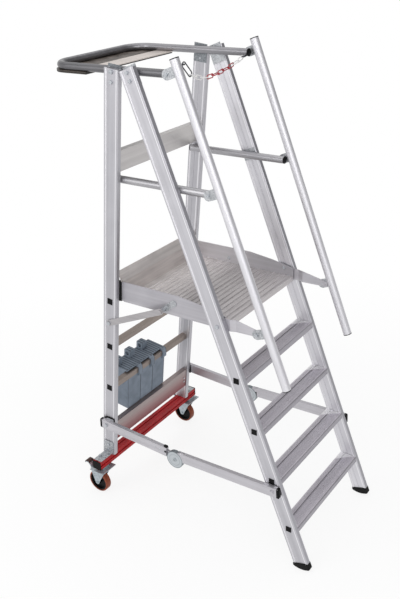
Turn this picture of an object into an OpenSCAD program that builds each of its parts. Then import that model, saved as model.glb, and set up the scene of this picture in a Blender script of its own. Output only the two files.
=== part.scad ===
// Mobile folding platform steps: a ribbed platform on a leaning front ladder
// and a hinged rear frame that rolls on two braked swivel castors.
// Millimetres, Z up, X across the steps, climber faces +Y.
// Origin on the floor under the middle of the whole outline.

/* [Frames] */
// Width over the outer faces of the stiles
outer_width = 674; // [660:2:690]
// Stile depth, front edge to rear edge
stile_depth = 78; // [76:1:82]
// Stile thickness, inner face to outer face
stile_thickness = 25; // [24:0.5:27]
// Wall of a stile web
stile_wall = 2.5; // [2:0.1:3]
// Lean of the front stiles from upright, degrees
front_lean = 20.5; // [20.3:0.1:20.7]
// Lean of the rear stiles from upright, degrees
rear_lean = 7.2; // [7:0.1:7.4]
// Front stile axis at the floor, ahead of the layout line
front_base = 661; // [656:1:664]

/* [Steps] */
// Height of the first tread above the floor
first_tread = 222; // [216:1:228]
// Rise from tread to tread
step_rise = 239; // [236:1:242]
// Depth of a tread
tread_depth = 88; // [84:1:92]
// Height of a tread section
tread_height = 30; // [26:1:34]
// Side of the square plug in the stile web behind each tread
plug_side = 28; // [24:1:32]
// Height of a rubber foot
foot_height = 40; // [34:1:46]

/* [Platform] */
// Deck nosing ahead of the bolt the platform folds about
deck_nose = 27; // [24:1:30]
// Distance from the rear stile axis forward to the rear edge of the deck
deck_back = 62; // [58:1:68]
// Distance from ridge to ridge on the deck
ridge_pitch = 29; // [26:1:34]
// Height of a deck ridge
ridge_height = 4; // [3:0.5:5]
// Height of the side cheeks above the deck
cheek_height = 80; // [74:1:84]

/* [Rails] */
// Height of the top rail centre line above the deck
guard_height = 1055; // [1050:1:1060]
// Outside diameter of the rails
rail_diameter = 34; // [32:0.5:35]
// Outside diameter of the handrails
handrail_diameter = 40; // [38:0.5:42]
// Wall of rails and handrails
tube_wall = 2.5; // [2:0.1:3]
// Distance from the rear hinge back to the rear bar of the top rail
rail_back = 379; // [370:1:388]
// Centre line radius of the top rail corners
rail_corner = 95; // [85:1:105]
// Distance from the front stile axis forward to the handrail axis
handrail_reach = 225; // [222:1:228]
// Depth of the tray board
tray_depth = 226; // [216:1:236]

/* [Rear frame] */
// Side of the square rear rungs
rung_side = 30; // [28:1:32]
// Depth of the castor beam
beam_side = 52; // [50:1:54]
// Height of the castor beam
beam_height = 46; // [44:1:48]
// Length of the castor beam past the stile on each side, without its caps
beam_over = 93; // [90:1:98]
// Height of the knee board
knee_board_height = 98; // [90:1:106]
// Height of the cross member
channel_height = 116; // [110:1:118]

/* [Castors] */
// Wheel diameter
wheel_diameter = 125; // [121:1:126]
// Tyre width
tyre_width = 36; // [32:1:38]
// Trail of the axle behind the swivel axis
caster_trail = 30; // [27:1:32]

/* [Ballast] */
// Width of one ballast block
ballast_width = 103; // [98:1:106]
// Depth of one ballast block
ballast_depth = 116; // [106:1:122]

/* [Linkage] */
// Height of a brace tube
brace_height = 50; // [46:1:52]
// Width of a brace tube
brace_width = 20; // [19:0.5:22]
// Height of a strut bar
strut_height = 30; // [28:1:32]

/* [Chain] */
// Wire diameter of a chain link
link_wire = 4.5; // [4:0.25:5]

/* [Hidden] */
$fn = 48;
origin_shift = 27;
half_width = outer_width / 2;
inner_x = half_width - stile_thickness;
half_depth = stile_depth / 2;
bead = 12;
bead_y = half_depth - bead;
outer_recess = 2;
inner_recess = 1.5;
groove_half = 2;
groove_depth = 1;
edge = 2;
web_x = half_width - outer_recess;
far_cut = 3000;
foot_floor = 18;
foot_side = 3;
foot_edge = 12;
gap = 0.4;
running = 0.1;
lap = 1;

// Bolts and pins
bolt_d = 8;
pin_d = 10;
head_d = 17;
head_h = 6;
pin_head_d = 20;
pin_cap_h = 3;

// Places along the leaning stiles
function front_y(z) = z * tan(front_lean) - front_base;
function rear_y(z) = rear_base - z * tan(rear_lean);
function tread_z(i) = first_tread + i * step_rise;
function along_front(z) = z / cos(front_lean);
function along_rear(z) = z / cos(rear_lean);

// Heights of the deck and the rails
tread_count = 4;
deck_sink = 4;
mid_share = 0.551;
deck_top = tread_z(tread_count) - deck_sink;
rail_z = deck_top + guard_height;
mid_rail_z = deck_top + mid_share * guard_height;

// Stiles: the two pairs pass each other at the top rail with a small clearance
stile_clearance = 3.1;
front_over = 16;
rear_over = 12;
stile_slant = half_depth / cos(front_lean) + half_depth / cos(rear_lean);
rear_base = front_y(rail_z) + stile_slant + stile_clearance + rail_z * tan(rear_lean);
front_stile_length = along_front(rail_z) + front_over;
rear_stile_length = along_rear(rail_z) + rear_over;

// Platform
cheek_t = 4;
cheek_x = inner_x - 10;
deck_t = 4;
deck_skirt = 22;
skirt_t = 3;
ridge_land = 10;
ridge_slope = 3;
toe_t = 3;
toe_lean = 20;
toe_rise = 50;
pivot_drop = 3;
platform_pivot_z = deck_top - pivot_drop;
deck_front = deck_nose - front_y(platform_pivot_z);
deck_rear = rear_y(deck_top) - deck_back;

// Rails and their plates
plate_t = 3;
rail_r = rail_diameter / 2;
rail_x = inner_x - plate_t - rail_r;
plug_t = 4;
spigot = 12;
handrail_r = handrail_diameter / 2;
handrail_x = inner_x - 12;
clip_t = 5;
clip_reach = 53;
clip_half = 22;
clip_inset = 9;
top_bolt_drop = 33;
hinge_bolt_drop = 43;
plate_half = half_depth - 3;
plate_drop = 60;
plate_rise = 26;
front_bolt_z = [rail_z, rail_z - top_bolt_drop, mid_rail_z];

// Place of a clip bolt at a given height, a fixed reach behind the handrail axis
function clip_y(z) = front_y(z) + (clip_reach - handrail_reach) / cos(front_lean);

rail_nose = 7;
mid_nose = 15.6;
mid_tail = 5.7;
rail_front = round(clip_y(rail_z) - rail_nose);
rail_rear = round(rear_y(rail_z) + rail_back);
mid_front = clip_y(mid_rail_z) - mid_nose;
mid_rear = rear_y(mid_rail_z) + mid_tail;

// Lower arms
arm_bolt_z = deck_top - 6;
arm_root = front_y(platform_pivot_z) + 33;
arm_bend = front_y(platform_pivot_z) - 53;
arm_set = arm_bend - 26;
arm_tip = clip_y(arm_bolt_z) - 28;
arm_low = deck_top - 21;
arm_high = deck_top + 36;
arm_end_low = deck_top - 17;
arm_end_high = deck_top + 8;

// Handrail ends, measured along the stile
handrail_over = 45;
handrail_under = 268;
handrail_slip = (handrail_reach - clip_reach) * tan(front_lean);
handrail_high = along_front(rail_z) - handrail_slip + handrail_over;
handrail_low = along_front(arm_bolt_z) - handrail_slip - handrail_under;

// Rear frame
rung_share = [0.977, 0.7607, 0.5494];
rung_z = [for (share = rung_share) deck_top * share];
rung_wall = 2.5;
knee_share = 0.5818;
knee_z = along_rear(deck_top + knee_share * guard_height);
knee_t = 25;
caster_top = wheel_diameter + 35;
mount_spacer = 14;
beam_bottom = caster_top + mount_spacer;
beam_top = beam_bottom + beam_height;
beam_length = outer_width + 2 * beam_over;
beam_y = rear_y(beam_top) + 4.8;
beam_wall = 6;
beam_groove = 10;
beam_groove_depth = 4;
cap_t = 6;
bracket_t = 4;
foot_leg_half = half_depth - 8;
foot_leg_top = beam_top + 80;
foot_leg_out = beam_over - 5;
foot_leg_depth = beam_side - 2;
leg_bolt_z = [beam_top + 25, beam_top + 60];
leg_bolt_x = half_width + 0.545 * foot_leg_out;
bracket_bolt_y = [beam_y - 14, beam_y + 14];
channel_z = along_rear(beam_top) + 96;
channel_wall = 3;
channel_front = 33;
channel_depth = 28;

// Castors
caster_x = half_width + beam_over - 40;
mount_t = 4;
mount_x = 104;
mount_y = 92;
crown_top = caster_top - mount_t - gap;
crown_t = 7;
kingpin_d = 12;
wheel_r = wheel_diameter / 2;
tyre_band = 8.5;
core_r = wheel_r - tyre_band;
fork_inner = tyre_width / 2 + 3;
fork_t = 4;
axle_d = 8;
axle_y = beam_y + caster_trail;
pedal_y = beam_y + 37;
pedal_z = wheel_diameter + 13;
pedal_rod = 6;
pedal_barrel = 13;
pedal_half = fork_inner - 3;
pedal_knee = beam_y + 67;
pedal_step = beam_y + 89;
pedal_tip = beam_y + 107;
pedal_rise = 32;

// Strut and brace planes
strut_x = half_width + 1;
strut_t = 5;
strut_low_z = deck_top - 143;
strut_top_z = deck_top - 2;
strut_top_y = (front_y(strut_top_z) + rear_y(strut_top_z)) / 2;
bracket_y = strut_top_y - 54;
bracket_z = strut_top_z + 40;
bracket_half = 15;
pad_t = 1.5;
pad_plate_t = 2;
brace_x = half_width + pad_t + pad_plate_t + gap;
brace_wall = 2.5;
brace_front_z = tread_z(1) - 53;
brace_rear_z = tread_z(1) - 41;
front_pin = [front_y(brace_front_z), brace_front_z];
rear_pin = [rear_y(brace_rear_z), brace_rear_z];
joint_share = 0.556;
joint_drop = 13;
joint_y = front_pin[0] + joint_share * (rear_pin[0] - front_pin[0]);
joint_z = brace_front_z - joint_drop;
disc_y = joint_y;
disc_z = joint_z - (brace_height / 2 - 2);
disc_radius = brace_height - 3;
disc_gap = 0.4;
disc_split = brace_x + brace_width / 2;
disc_pin_d = 12;
stile_pin_d = 12;
brace_stop = disc_radius + 3;
front_tail = 26;
rear_tail = 30;

// Ballast, measured from the lowest rung
ballast_start = -196;
ballast_pitch = ballast_width + 1;
ballast_face = 11;
ballast_roof = 30;
ballast_lift = 6;
ballast_clear = 6;
finger = 16;
finger_width = 26;
brow = 5;
nose = 24;
lug_side = 40;
lug_rise = 38;
lug_hole = 22;

// Chain
link_inner = 11;
link_slack = 0.6;
chain_far_x = rail_x - 60;
chain_low_x = -0.15 * handrail_x;
chain_low_z = rail_z - 49;
link_count = 10;
link_length = (handrail_x - handrail_r + rail_x - 103) / link_count;
link_step = link_length - link_slack;
chain_far_rise = 29.2 / pow(chain_far_x - chain_low_x, 2);
chain_near_rise = 27 / pow(0.4667 * handrail_x, 2);
chain_far_y = clip_y(rail_z) - 2;
chain_slope_y = 0.08;
white_far = 2;
red_count = 5;
white_near = link_count - white_far - red_count;

// Shared shapes

module placed() {
    translate([0, origin_shift, 0]) children();
}

module both_sides() {
    children();
    mirror([1, 0, 0]) children();
}

module left_side() {
    mirror([1, 0, 0]) children();
}

module lean_front() {
    translate([0, -front_base, 0]) rotate([-front_lean, 0, 0]) children();
}

module lean_rear() {
    translate([0, rear_base, 0]) rotate([rear_lean, 0, 0]) children();
}

// Round bar along X from x0 to x1 at a place in the side view
module across(x0, x1, d, y, z) {
    translate([x0, y, z]) rotate([0, 90, 0]) cylinder(d = d, h = x1 - x0);
}

// Side view outline (y, z) given thickness along X from x0 to x1
module side_plate(x0, x1) {
    translate([x0, 0, 0]) rotate([90, 0, 90]) linear_extrude(x1 - x0) children();
}

// Six sided head along X
module hex_head(x0, h, d, y, z) {
    translate([x0, y, z]) rotate([0, 90, 0]) cylinder(d = d, h = h, $fn = 6);
}

// Bar outline with round ends between two places in the side view
module link_outline(a, b, r) {
    long = norm(b - a);
    translate(a) rotate(atan2(b[1] - a[1], b[0] - a[0])) union() {
        translate([0, -r]) square([long, 2 * r]);
        circle(r);
        translate([long, 0]) circle(r);
    }
}

module tube(d, wall, h) {
    difference() {
        cylinder(d = d, h = h);
        translate([0, 0, -1]) cylinder(d = d - 2 * wall, h = h + 2);
    }
}

// Stile section: two edge beads outside, a recessed web and a central groove inside
module stile_profile() {
    t = stile_thickness;
    in_web = inner_recess;
    in_groove = inner_recess + groove_depth;
    cavity_x = in_groove + stile_wall;
    difference() {
        polygon([
            [edge, -half_depth], [t - edge, -half_depth], [t, edge - half_depth],
            [t, -bead_y], [t - outer_recess, -bead_y], [t - outer_recess, bead_y],
            [t, bead_y], [t, half_depth - edge], [t - edge, half_depth],
            [edge, half_depth], [0, half_depth - edge], [0, bead_y],
            [in_web, bead_y], [in_web, groove_half], [in_groove, groove_half],
            [in_groove, -groove_half], [in_web, -groove_half], [in_web, -bead_y],
            [0, -bead_y], [0, edge - half_depth]
        ]);
        translate([cavity_x, stile_wall - half_depth])
            square([t - outer_recess - stile_wall - cavity_x, stile_depth - 2 * stile_wall]);
    }
}

// Front ladder

module front_stile() {
    difference() {
        lean_front() translate([inner_x, 0, -foot_height])
            linear_extrude(front_stile_length + foot_height) stile_profile();
        translate([0, -far_cut / 2, foot_floor - far_cut]) cube([far_cut, far_cut, far_cut]);
        for (z = front_bolt_z) across(inner_x - 1, half_width + 1, bolt_d, front_y(z), z);
        across(inner_x - 1, half_width + 1, pin_d, front_y(platform_pivot_z), platform_pivot_z);
        for (i = [0 : tread_count - 1]) step_plug(i, 0);
    }
}

module front_stile_left() {
    color("silver") placed() left_side() front_stile();
}

module front_stile_right() {
    color("silver") placed() front_stile();
}

// Square plug set in the outer web behind a tread
module step_plug(i, proud) {
    z = tread_z(i) - tread_height / 2;
    inside = half_width - stile_thickness / 2;
    translate([inside, front_y(z) - plug_side / 2, z - plug_side / 2])
        cube([web_x + 1 + proud - inside, plug_side, plug_side]);
}

module step_plugs() {
    color("dimgray") placed() both_sides() for (i = [0 : tread_count - 1]) step_plug(i, 0.5);
}

// Extruded tread: three hollow cells, fine grip grooves and one wide groove
module tread_profile() {
    wall = 2.5;
    top_wall = 4;
    cells = 3;
    cell = (tread_depth - (cells + 1) * wall) / cells;
    grip = 2;
    grip_pitch = 6;
    grip_count = floor((tread_depth - 2 * grip_pitch) / grip_pitch);
    wide = 5;
    nose = 4;
    difference() {
        polygon([
            [0, 0], [tread_depth, 0], [tread_depth, tread_height],
            [nose, tread_height], [0, tread_height - nose]
        ]);
        for (k = [0 : cells - 1]) translate([wall + k * (cell + wall), wall])
            square([cell, tread_height - wall - top_wall]);
        for (k = [1 : grip_count]) translate([nose + k * grip_pitch, tread_height - 1])
            square([grip, 2]);
        translate([tread_depth * 2 / 3, tread_height - grip]) square([wide, grip + 1]);
    }
}

module tread(i) {
    z = tread_z(i) - tread_height;
    rear = front_y(tread_z(i)) + half_depth / cos(front_lean);
    color("gainsboro") placed() side_plate(-inner_x, inner_x)
        translate([rear - tread_depth, z]) tread_profile();
}

module step_1() { tread(0); }
module step_2() { tread(1); }
module step_3() { tread(2); }
module step_4() { tread(3); }

// Rubber boot cut level with the floor
module front_feet() {
    boot_x = stile_thickness + 2 * foot_side;
    boot_y = half_depth + foot_side;
    color("black") placed() both_sides() difference() {
        intersection() {
            lean_front() translate([inner_x - foot_side, 0, -foot_height]) linear_extrude(3 * foot_height)
                polygon([
                    [0, foot_edge - boot_y], [foot_edge, -boot_y], [boot_x - foot_edge, -boot_y],
                    [boot_x, foot_edge - boot_y], [boot_x, boot_y - foot_edge],
                    [boot_x - foot_edge, boot_y], [foot_edge, boot_y], [0, boot_y - foot_edge]
                ]);
            translate([0, -far_cut / 2, 0]) cube([far_cut, far_cut, foot_height]);
        }
        intersection() {
            lean_front() translate([inner_x, -half_depth, -foot_height])
                cube([stile_thickness, stile_depth, far_cut]);
            translate([0, -far_cut / 2, foot_floor]) cube([far_cut, far_cut, far_cut]);
        }
    }
}

// Guard rails

module rail_run(d, over) {
    side_length = rail_rear - rail_corner - rail_front;
    for (s = [-1, 1]) translate([s * rail_x, rail_front - over, rail_z]) rotate([-90, 0, 0])
        cylinder(d = d, h = side_length + over);
    translate([rail_x - rail_corner, rail_rear - rail_corner, rail_z])
        rotate_extrude(angle = 90) translate([rail_corner, 0]) circle(d = d);
    translate([rail_corner - rail_x, rail_rear - rail_corner, rail_z])
        rotate([0, 0, 90]) rotate_extrude(angle = 90) translate([rail_corner, 0]) circle(d = d);
    translate([rail_corner - rail_x, rail_rear, rail_z]) rotate([0, 90, 0])
        cylinder(d = d, h = 2 * (rail_x - rail_corner));
}

module top_rail() {
    color("silver") placed() difference() {
        rail_run(rail_diameter, 0);
        rail_run(rail_diameter - 2 * tube_wall, 1);
        both_sides() {
            across(rail_x, inner_x, bolt_d, front_y(rail_z), rail_z);
            across(rail_x, inner_x, pin_d, rear_y(rail_z), rail_z);
            across(rail_x, inner_x, bolt_d, clip_y(rail_z), rail_z);
        }
    }
}

module mid_rail() {
    difference() {
        translate([rail_x, mid_front, mid_rail_z]) rotate([-90, 0, 0])
            tube(rail_diameter, tube_wall, mid_rear - mid_front);
        across(rail_x, inner_x, bolt_d, front_y(mid_rail_z), mid_rail_z);
        across(rail_x, inner_x, bolt_d, clip_y(mid_rail_z), mid_rail_z);
    }
}

module mid_rail_left() {
    color("silver") placed() left_side() mid_rail();
}

module mid_rail_right() {
    color("silver") placed() mid_rail();
}

// Plug for a round tube, flange at the origin and spigot along +Z
module round_plug(d, wall) {
    translate([0, 0, -plug_t]) cylinder(d = d, h = plug_t);
    cylinder(d = d - 2 * wall, h = spigot);
}

module tube_plugs() {
    color("black") placed() both_sides() {
        difference() {
            union() {
                translate([rail_x, rail_front, rail_z]) rotate([-90, 0, 0])
                    round_plug(rail_diameter, tube_wall);
                translate([rail_x, mid_front, mid_rail_z]) rotate([-90, 0, 0])
                    round_plug(rail_diameter, tube_wall);
            }
            for (z = [rail_z, mid_rail_z]) across(rail_x, inner_x, bolt_d, clip_y(z), z);
        }
        translate([rail_x, mid_rear, mid_rail_z]) rotate([90, 0, 0])
            round_plug(rail_diameter, tube_wall);
        lean_front() translate([handrail_x, -handrail_reach, handrail_low])
            round_plug(handrail_diameter, tube_wall);
        lean_front() translate([handrail_x, -handrail_reach, handrail_high]) rotate([180, 0, 0])
            round_plug(handrail_diameter, tube_wall);
    }
}

module handrail() {
    lean_front() translate([handrail_x, -handrail_reach, handrail_low])
        tube(handrail_diameter, tube_wall, handrail_high - handrail_low);
}

module handrail_left() {
    color("silver") placed() left_side() handrail();
}

module handrail_right() {
    color("silver") placed() handrail();
}

// Clip plate between a rail end and the handrail, hollowed to seat on the tube
module clip(z, x) {
    difference() {
        translate([0, clip_y(z), z]) rotate([-front_lean, 0, 0]) side_plate(x, x + clip_t) union() {
            circle(clip_half);
            translate([-clip_reach, -clip_half]) square([clip_reach, 2 * clip_half]);
        }
        lean_front() translate([handrail_x, -handrail_reach, 0])
            cylinder(d = handrail_diameter, h = far_cut);
        across(x - 1, x + clip_t + 1, bolt_d, clip_y(z), z);
    }
}

// Clips at the handrails and the flat spacers between the rails and the front stiles
module rail_clips() {
    clip_x = inner_x - plate_t;
    color("lightgray") placed() both_sides() {
        clip(rail_z, clip_x);
        clip(mid_rail_z, clip_x);
        clip(arm_bolt_z, inner_x - clip_inset);
        difference() {
            lean_front() translate([inner_x - plate_t, -plate_half, along_front(rail_z) - plate_drop])
                cube([plate_t, 2 * plate_half, plate_drop + plate_rise]);
            across(inner_x - far_cut / 2, inner_x + 1, bolt_d, front_y(rail_z), rail_z);
            across(inner_x - far_cut / 2, inner_x + 1, bolt_d,
                front_y(rail_z - top_bolt_drop), rail_z - top_bolt_drop);
        }
        difference() {
            lean_front() translate([inner_x - plate_t, -plate_half, along_front(mid_rail_z) - plate_rise])
                cube([plate_t, 2 * plate_half, 2 * plate_rise]);
            across(inner_x - far_cut / 2, inner_x + 1, bolt_d, front_y(mid_rail_z), mid_rail_z);
        }
    }
}

// Flat arm from the stile to the foot of the handrail, jogged inward in front of the stile
module lower_arm() {
    out = inner_x;
    jog = clip_inset;
    difference() {
        intersection() {
            translate([0, 0, arm_low - 1]) linear_extrude(arm_high - arm_low + 2) polygon([
                [out, arm_root], [out, arm_bend], [out - jog, arm_set], [out - jog, arm_tip],
                [out - jog - plate_t, arm_tip], [out - jog - plate_t, arm_set],
                [out - plate_t, arm_bend], [out - plate_t, arm_root]
            ]);
            side_plate(0, half_width) polygon([
                [arm_root, arm_low], [arm_root, arm_high], [arm_set, arm_high],
                [arm_tip, arm_end_high], [arm_tip, arm_end_low], [arm_set, arm_low]
            ]);
        }
        across(0, half_width, pin_d, front_y(platform_pivot_z), platform_pivot_z);
        across(0, half_width, bolt_d, clip_y(arm_bolt_z), arm_bolt_z);
    }
}

module lower_arms() {
    color("silver") placed() both_sides() lower_arm();
}

// Tray board resting under the rear loop of the top rail
module tray_board() {
    board_t = 10;
    top = rail_z - rail_r;
    half = rail_x + rail_r - 1;
    round_r = rail_corner;
    rear = rail_rear + rail_r - 3;
    front = rear - tray_depth;
    color("saddlebrown") placed() translate([0, 0, top - board_t]) linear_extrude(board_t) union() {
        translate([-half, front]) square([2 * half, rear - round_r - front]);
        translate([round_r - half, rear - round_r]) square([2 * (half - round_r), round_r]);
        for (s = [-1, 1]) translate([s * (half - round_r), rear - round_r]) circle(round_r);
    }
}

// Flat bar across the rails along the front edge of the tray board
module tray_bar() {
    bar_t = 4;
    bar_y = 96;
    bar_lap = 22;
    front = rail_rear + rail_r - 3 - tray_depth - bar_lap;
    half = rail_x - rail_r * 0.6;
    top = rail_z - rail_r;
    color("gainsboro") placed() difference() {
        translate([-half, front, top]) cube([2 * half, bar_y, bar_t]);
        rail_run(rail_diameter, 0);
    }
}

// Fixed bolts of the front ladder, the upper heads in the outer recess of the stiles
module front_bolts() {
    tip = inner_x - plate_t;
    clip_face = inner_x - plate_t + clip_t;
    low_face = inner_x - clip_inset + clip_t;
    low_z = front_bolt_z[1];
    color("gray") placed() both_sides() {
        for (z = [rail_z, mid_rail_z]) {
            across(rail_x + rail_r / 2, web_x, bolt_d, front_y(z), z);
            across(rail_x + rail_r / 2, clip_face, bolt_d, clip_y(z), z);
            hex_head(clip_face, head_h, head_d, clip_y(z), z);
        }
        hex_head(web_x, head_h, head_d, front_y(rail_z), rail_z);
        across(tip, web_x, bolt_d, front_y(low_z), low_z);
        hex_head(web_x, head_h, head_d, front_y(low_z), low_z);
        across(tip - clip_inset, low_face, bolt_d, clip_y(arm_bolt_z), arm_bolt_z);
        hex_head(low_face, head_h, head_d, clip_y(arm_bolt_z), arm_bolt_z);
    }
}

// Bolts the rear frame and the platform turn on
module pivot_bolts() {
    color("gray") placed() both_sides() {
        across(rail_x + rail_r / 2, web_x + gap, pin_d, rear_y(rail_z), rail_z);
        across(web_x + gap, web_x + gap + head_h, pin_head_d, rear_y(rail_z), rail_z);
        across(cheek_x + gap, web_x, pin_d, front_y(platform_pivot_z), platform_pivot_z);
        hex_head(web_x, head_h, pin_head_d, front_y(platform_pivot_z), platform_pivot_z);
    }
}

// Plastic chain across the platform entrance

function chain_z(x) = chain_low_z
    + (x > chain_low_x ? chain_far_rise : chain_near_rise) * pow(x - chain_low_x, 2);
function chain_angle(x) = atan(2 * (x > chain_low_x ? chain_far_rise : chain_near_rise) * (x - chain_low_x));
function chain_y(x) = chain_far_y + chain_slope_y * (x - chain_far_x);
function link_x(i) = i == 0 ? chain_far_x
    : link_x(i - 1) - link_step * cos(chain_angle(link_x(i - 1) - link_step / 2));

// Oval ring lying in the XY plane, long along X
module oval_ring(inner_length, inner_width, wire) {
    bend = (inner_width + wire) / 2;
    straight = inner_length - inner_width;
    for (s = [0, 180]) rotate([0, 0, s]) {
        translate([straight / 2, 0, 0]) rotate([0, 0, -90])
            rotate_extrude(angle = 180) translate([bend, 0]) circle(d = wire, $fn = 24);
        translate([-straight / 2, bend, 0]) rotate([0, 90, 0]) cylinder(d = wire, h = straight, $fn = 24);
    }
}

module chain_link(i) {
    x = link_x(i);
    translate([x, chain_y(x), chain_z(x)]) rotate([0, -chain_angle(x), atan(chain_slope_y)])
        rotate([90 + 90 * (i % 2), 0, 0]) oval_ring(link_length, link_inner, link_wire);
}

module chain_red() {
    color("firebrick") placed() for (i = [white_far : white_far + red_count - 1]) chain_link(i);
}

module chain_white() {
    color("white") placed() {
        for (i = [0 : white_far - 1]) chain_link(i);
        for (i = [link_count - white_near : link_count - 1]) chain_link(i);
    }
}

// Ring lying in the XY plane
module eye_ring(inner_r, wire) {
    rotate_extrude() translate([inner_r + wire / 2, 0]) circle(d = wire, $fn = 24);
}

// Eye on the far rail, spring hook on the last link and eye on the near handrail
module chain_fittings() {
    hook_length = 74;
    hook_inner = 18;
    wire = 5;
    lift = 46;
    slack = 1.5;
    eye = 6;
    stud = 6;
    grow = eye + wire / 2;
    half_link = (link_length + link_wire) / 2;
    pass = (link_wire + wire) / 2 + slack;
    last_x = link_x(link_count - 1);
    climb = -chain_angle(last_x);
    mean = (climb + lift) / 2;
    seat_x = last_x - half_link * cos(climb) + pass * cos(mean);
    seat_z = chain_z(last_x) + half_link * sin(climb) - pass * sin(mean);
    half_hook = (hook_length + wire) / 2;
    hook_x = seat_x - half_hook * cos(lift);
    hook_z = seat_z + half_hook * sin(lift);
    inset = half_hook - wire - slack;
    near_x = hook_x - inset * cos(lift) - grow;
    near_z = hook_z + inset * sin(lift);
    start_angle = chain_angle(chain_far_x);
    far_x = chain_far_x + half_link * cos(start_angle) - pass + grow;
    far_z = chain_z(chain_far_x) + half_link * sin(start_angle);
    color("dimgray") placed() {
        translate([hook_x, chain_y(hook_x), hook_z]) rotate([0, lift, 0]) rotate([90, 0, 0])
            oval_ring(hook_length, hook_inner, wire);
        difference() {
            union() {
                translate([near_x, chain_y(near_x), near_z]) eye_ring(eye, wire);
                across(-handrail_x, near_x - grow, stud, chain_y(near_x), near_z);
            }
            left_side() lean_front() translate([handrail_x, -handrail_reach, 0])
                cylinder(d = handrail_diameter, h = far_cut);
        }
        difference() {
            union() {
                translate([far_x, chain_y(far_x), far_z]) eye_ring(eye, wire);
                across(far_x + grow, rail_x, stud, chain_y(far_x), far_z);
            }
            translate([rail_x, rail_front, rail_z]) rotate([-90, 0, 0])
                cylinder(d = rail_diameter, h = far_cut / 10);
        }
    }
}

// Rear frame

module rear_stile() {
    difference() {
        lean_rear() translate([inner_x, 0, 0]) linear_extrude(rear_stile_length) stile_profile();
        translate([0, -far_cut / 2, beam_top - far_cut]) cube([far_cut, far_cut, far_cut]);
        for (z = rung_z) lean_rear() translate([inner_x - 1, -rung_side / 2, along_rear(z) - rung_side / 2])
            cube([stile_thickness + 2, rung_side, rung_side]);
        across(inner_x - 1, half_width + 1, pin_d + running, rear_y(rail_z), rail_z);
        across(inner_x - 1, half_width + 1, bolt_d,
            rear_y(rail_z - hinge_bolt_drop), rail_z - hinge_bolt_drop);
        across(half_width - stile_thickness / 2, half_width + 1, pin_d, rear_y(strut_low_z), strut_low_z);
        across(half_width - stile_thickness / 2, half_width + 1, pin_d, rear_y(brace_rear_z), brace_rear_z);
        for (z = leg_bolt_z) across(half_width - stile_thickness / 2, half_width + 1, bolt_d, rear_y(z), z);
    }
}

module rear_stile_left() {
    color("silver") placed() left_side() rear_stile();
}

module rear_stile_right() {
    color("silver") placed() rear_stile();
}

// Box tube across the frame, centred on its axis at height z
module box_tube_along(half, deep, high, wall, z) {
    difference() {
        translate([-half, -deep / 2, z - high / 2]) cube([2 * half, deep, high]);
        translate([-half - lap, wall - deep / 2, z - high / 2 + wall])
            cube([2 * (half + lap), deep - 2 * wall, high - 2 * wall]);
    }
}

module rung(z) {
    color("silver") placed() lean_rear()
        box_tube_along(web_x, rung_side, rung_side, rung_wall, along_rear(z));
}

module rung_1() { rung(rung_z[0]); }
module rung_2() { rung(rung_z[1]); }
module rung_3() { rung(rung_z[2]); }

// Outline of the pad behind a rear brace end, drawn inward by a margin
module pad_outline(margin) {
    pin = rear_pin;
    h = brace_height;
    translate(pin) polygon([
        [0.86 * h - margin, -0.6 * h + margin], [0.98 * h - margin, 0.26 * h],
        [0.22 * h - margin / 2, 0.8 * h - margin],
        [-0.86 * h + margin, 0.8 * h - margin], [-0.86 * h + margin, -0.6 * h + margin]
    ]);
}

// Square plugs of the rungs and the black pads behind the rear brace ends
module rung_plugs() {
    inner = rung_side - 2 * rung_wall;
    flange = 1.5;
    color("black") placed() both_sides() {
        for (z = rung_z) lean_rear() translate([web_x, 0, along_rear(z)]) {
            translate([0, -rung_side / 2, -rung_side / 2]) cube([flange, rung_side, rung_side]);
            translate([-spigot, -inner / 2, -inner / 2]) cube([spigot, inner, inner]);
        }
        difference() {
            side_plate(half_width, half_width + pad_t) pad_outline(0);
            across(0, far_cut, pin_d, rear_pin[0], rear_pin[1]);
        }
    }
}

// Knee board: hollow box section between the rear stiles
module knee_board() {
    wall = 2;
    half = inner_x + inner_recess;
    color("gainsboro") placed() lean_rear() difference() {
        translate([-half, -knee_t / 2, knee_z]) cube([2 * half, knee_t, knee_board_height]);
        translate([-half - 1, wall - knee_t / 2, knee_z + wall])
            cube([2 * half + 2, knee_t - 2 * wall, knee_board_height - 2 * wall]);
    }
}

// Deep box member between the rear stiles
module cross_channel() {
    color("silver") placed() lean_rear() translate([0, channel_depth / 2 - channel_front, 0])
        box_tube_along(inner_x, channel_depth, channel_height, channel_wall, channel_z + channel_height / 2);
}

// Castor beam with a groove along the top and one along the front
module caster_beam() {
    half = beam_length / 2;
    mid = beam_bottom + beam_height / 2;
    run = beam_length + 2 * lap;
    deep = beam_groove_depth;
    color("firebrick") placed() difference() {
        translate([0, beam_y, 0]) box_tube_along(half, beam_side, beam_height, beam_wall, mid);
        translate([-half - lap, beam_y - beam_groove / 2, beam_top - deep])
            cube([run, beam_groove, deep + lap]);
        translate([-half - lap, beam_y - beam_side / 2 - lap, mid - beam_groove / 2])
            cube([run, deep + lap, beam_groove]);
        both_sides() for (y = bracket_bolt_y) translate([leg_bolt_x, y, mid])
            cylinder(d = bolt_d, h = beam_height);
    }
}

module beam_caps() {
    half = beam_length / 2;
    deep = beam_side - 2 * beam_wall;
    high = beam_height - 2 * beam_wall;
    color("black") placed() both_sides() translate([half, beam_y, beam_bottom + beam_height / 2]) {
        translate([0, -beam_side / 2, -beam_height / 2]) cube([cap_t, beam_side, beam_height]);
        translate([-spigot, -deep / 2, -high / 2]) cube([spigot, deep, high]);
    }
}

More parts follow.
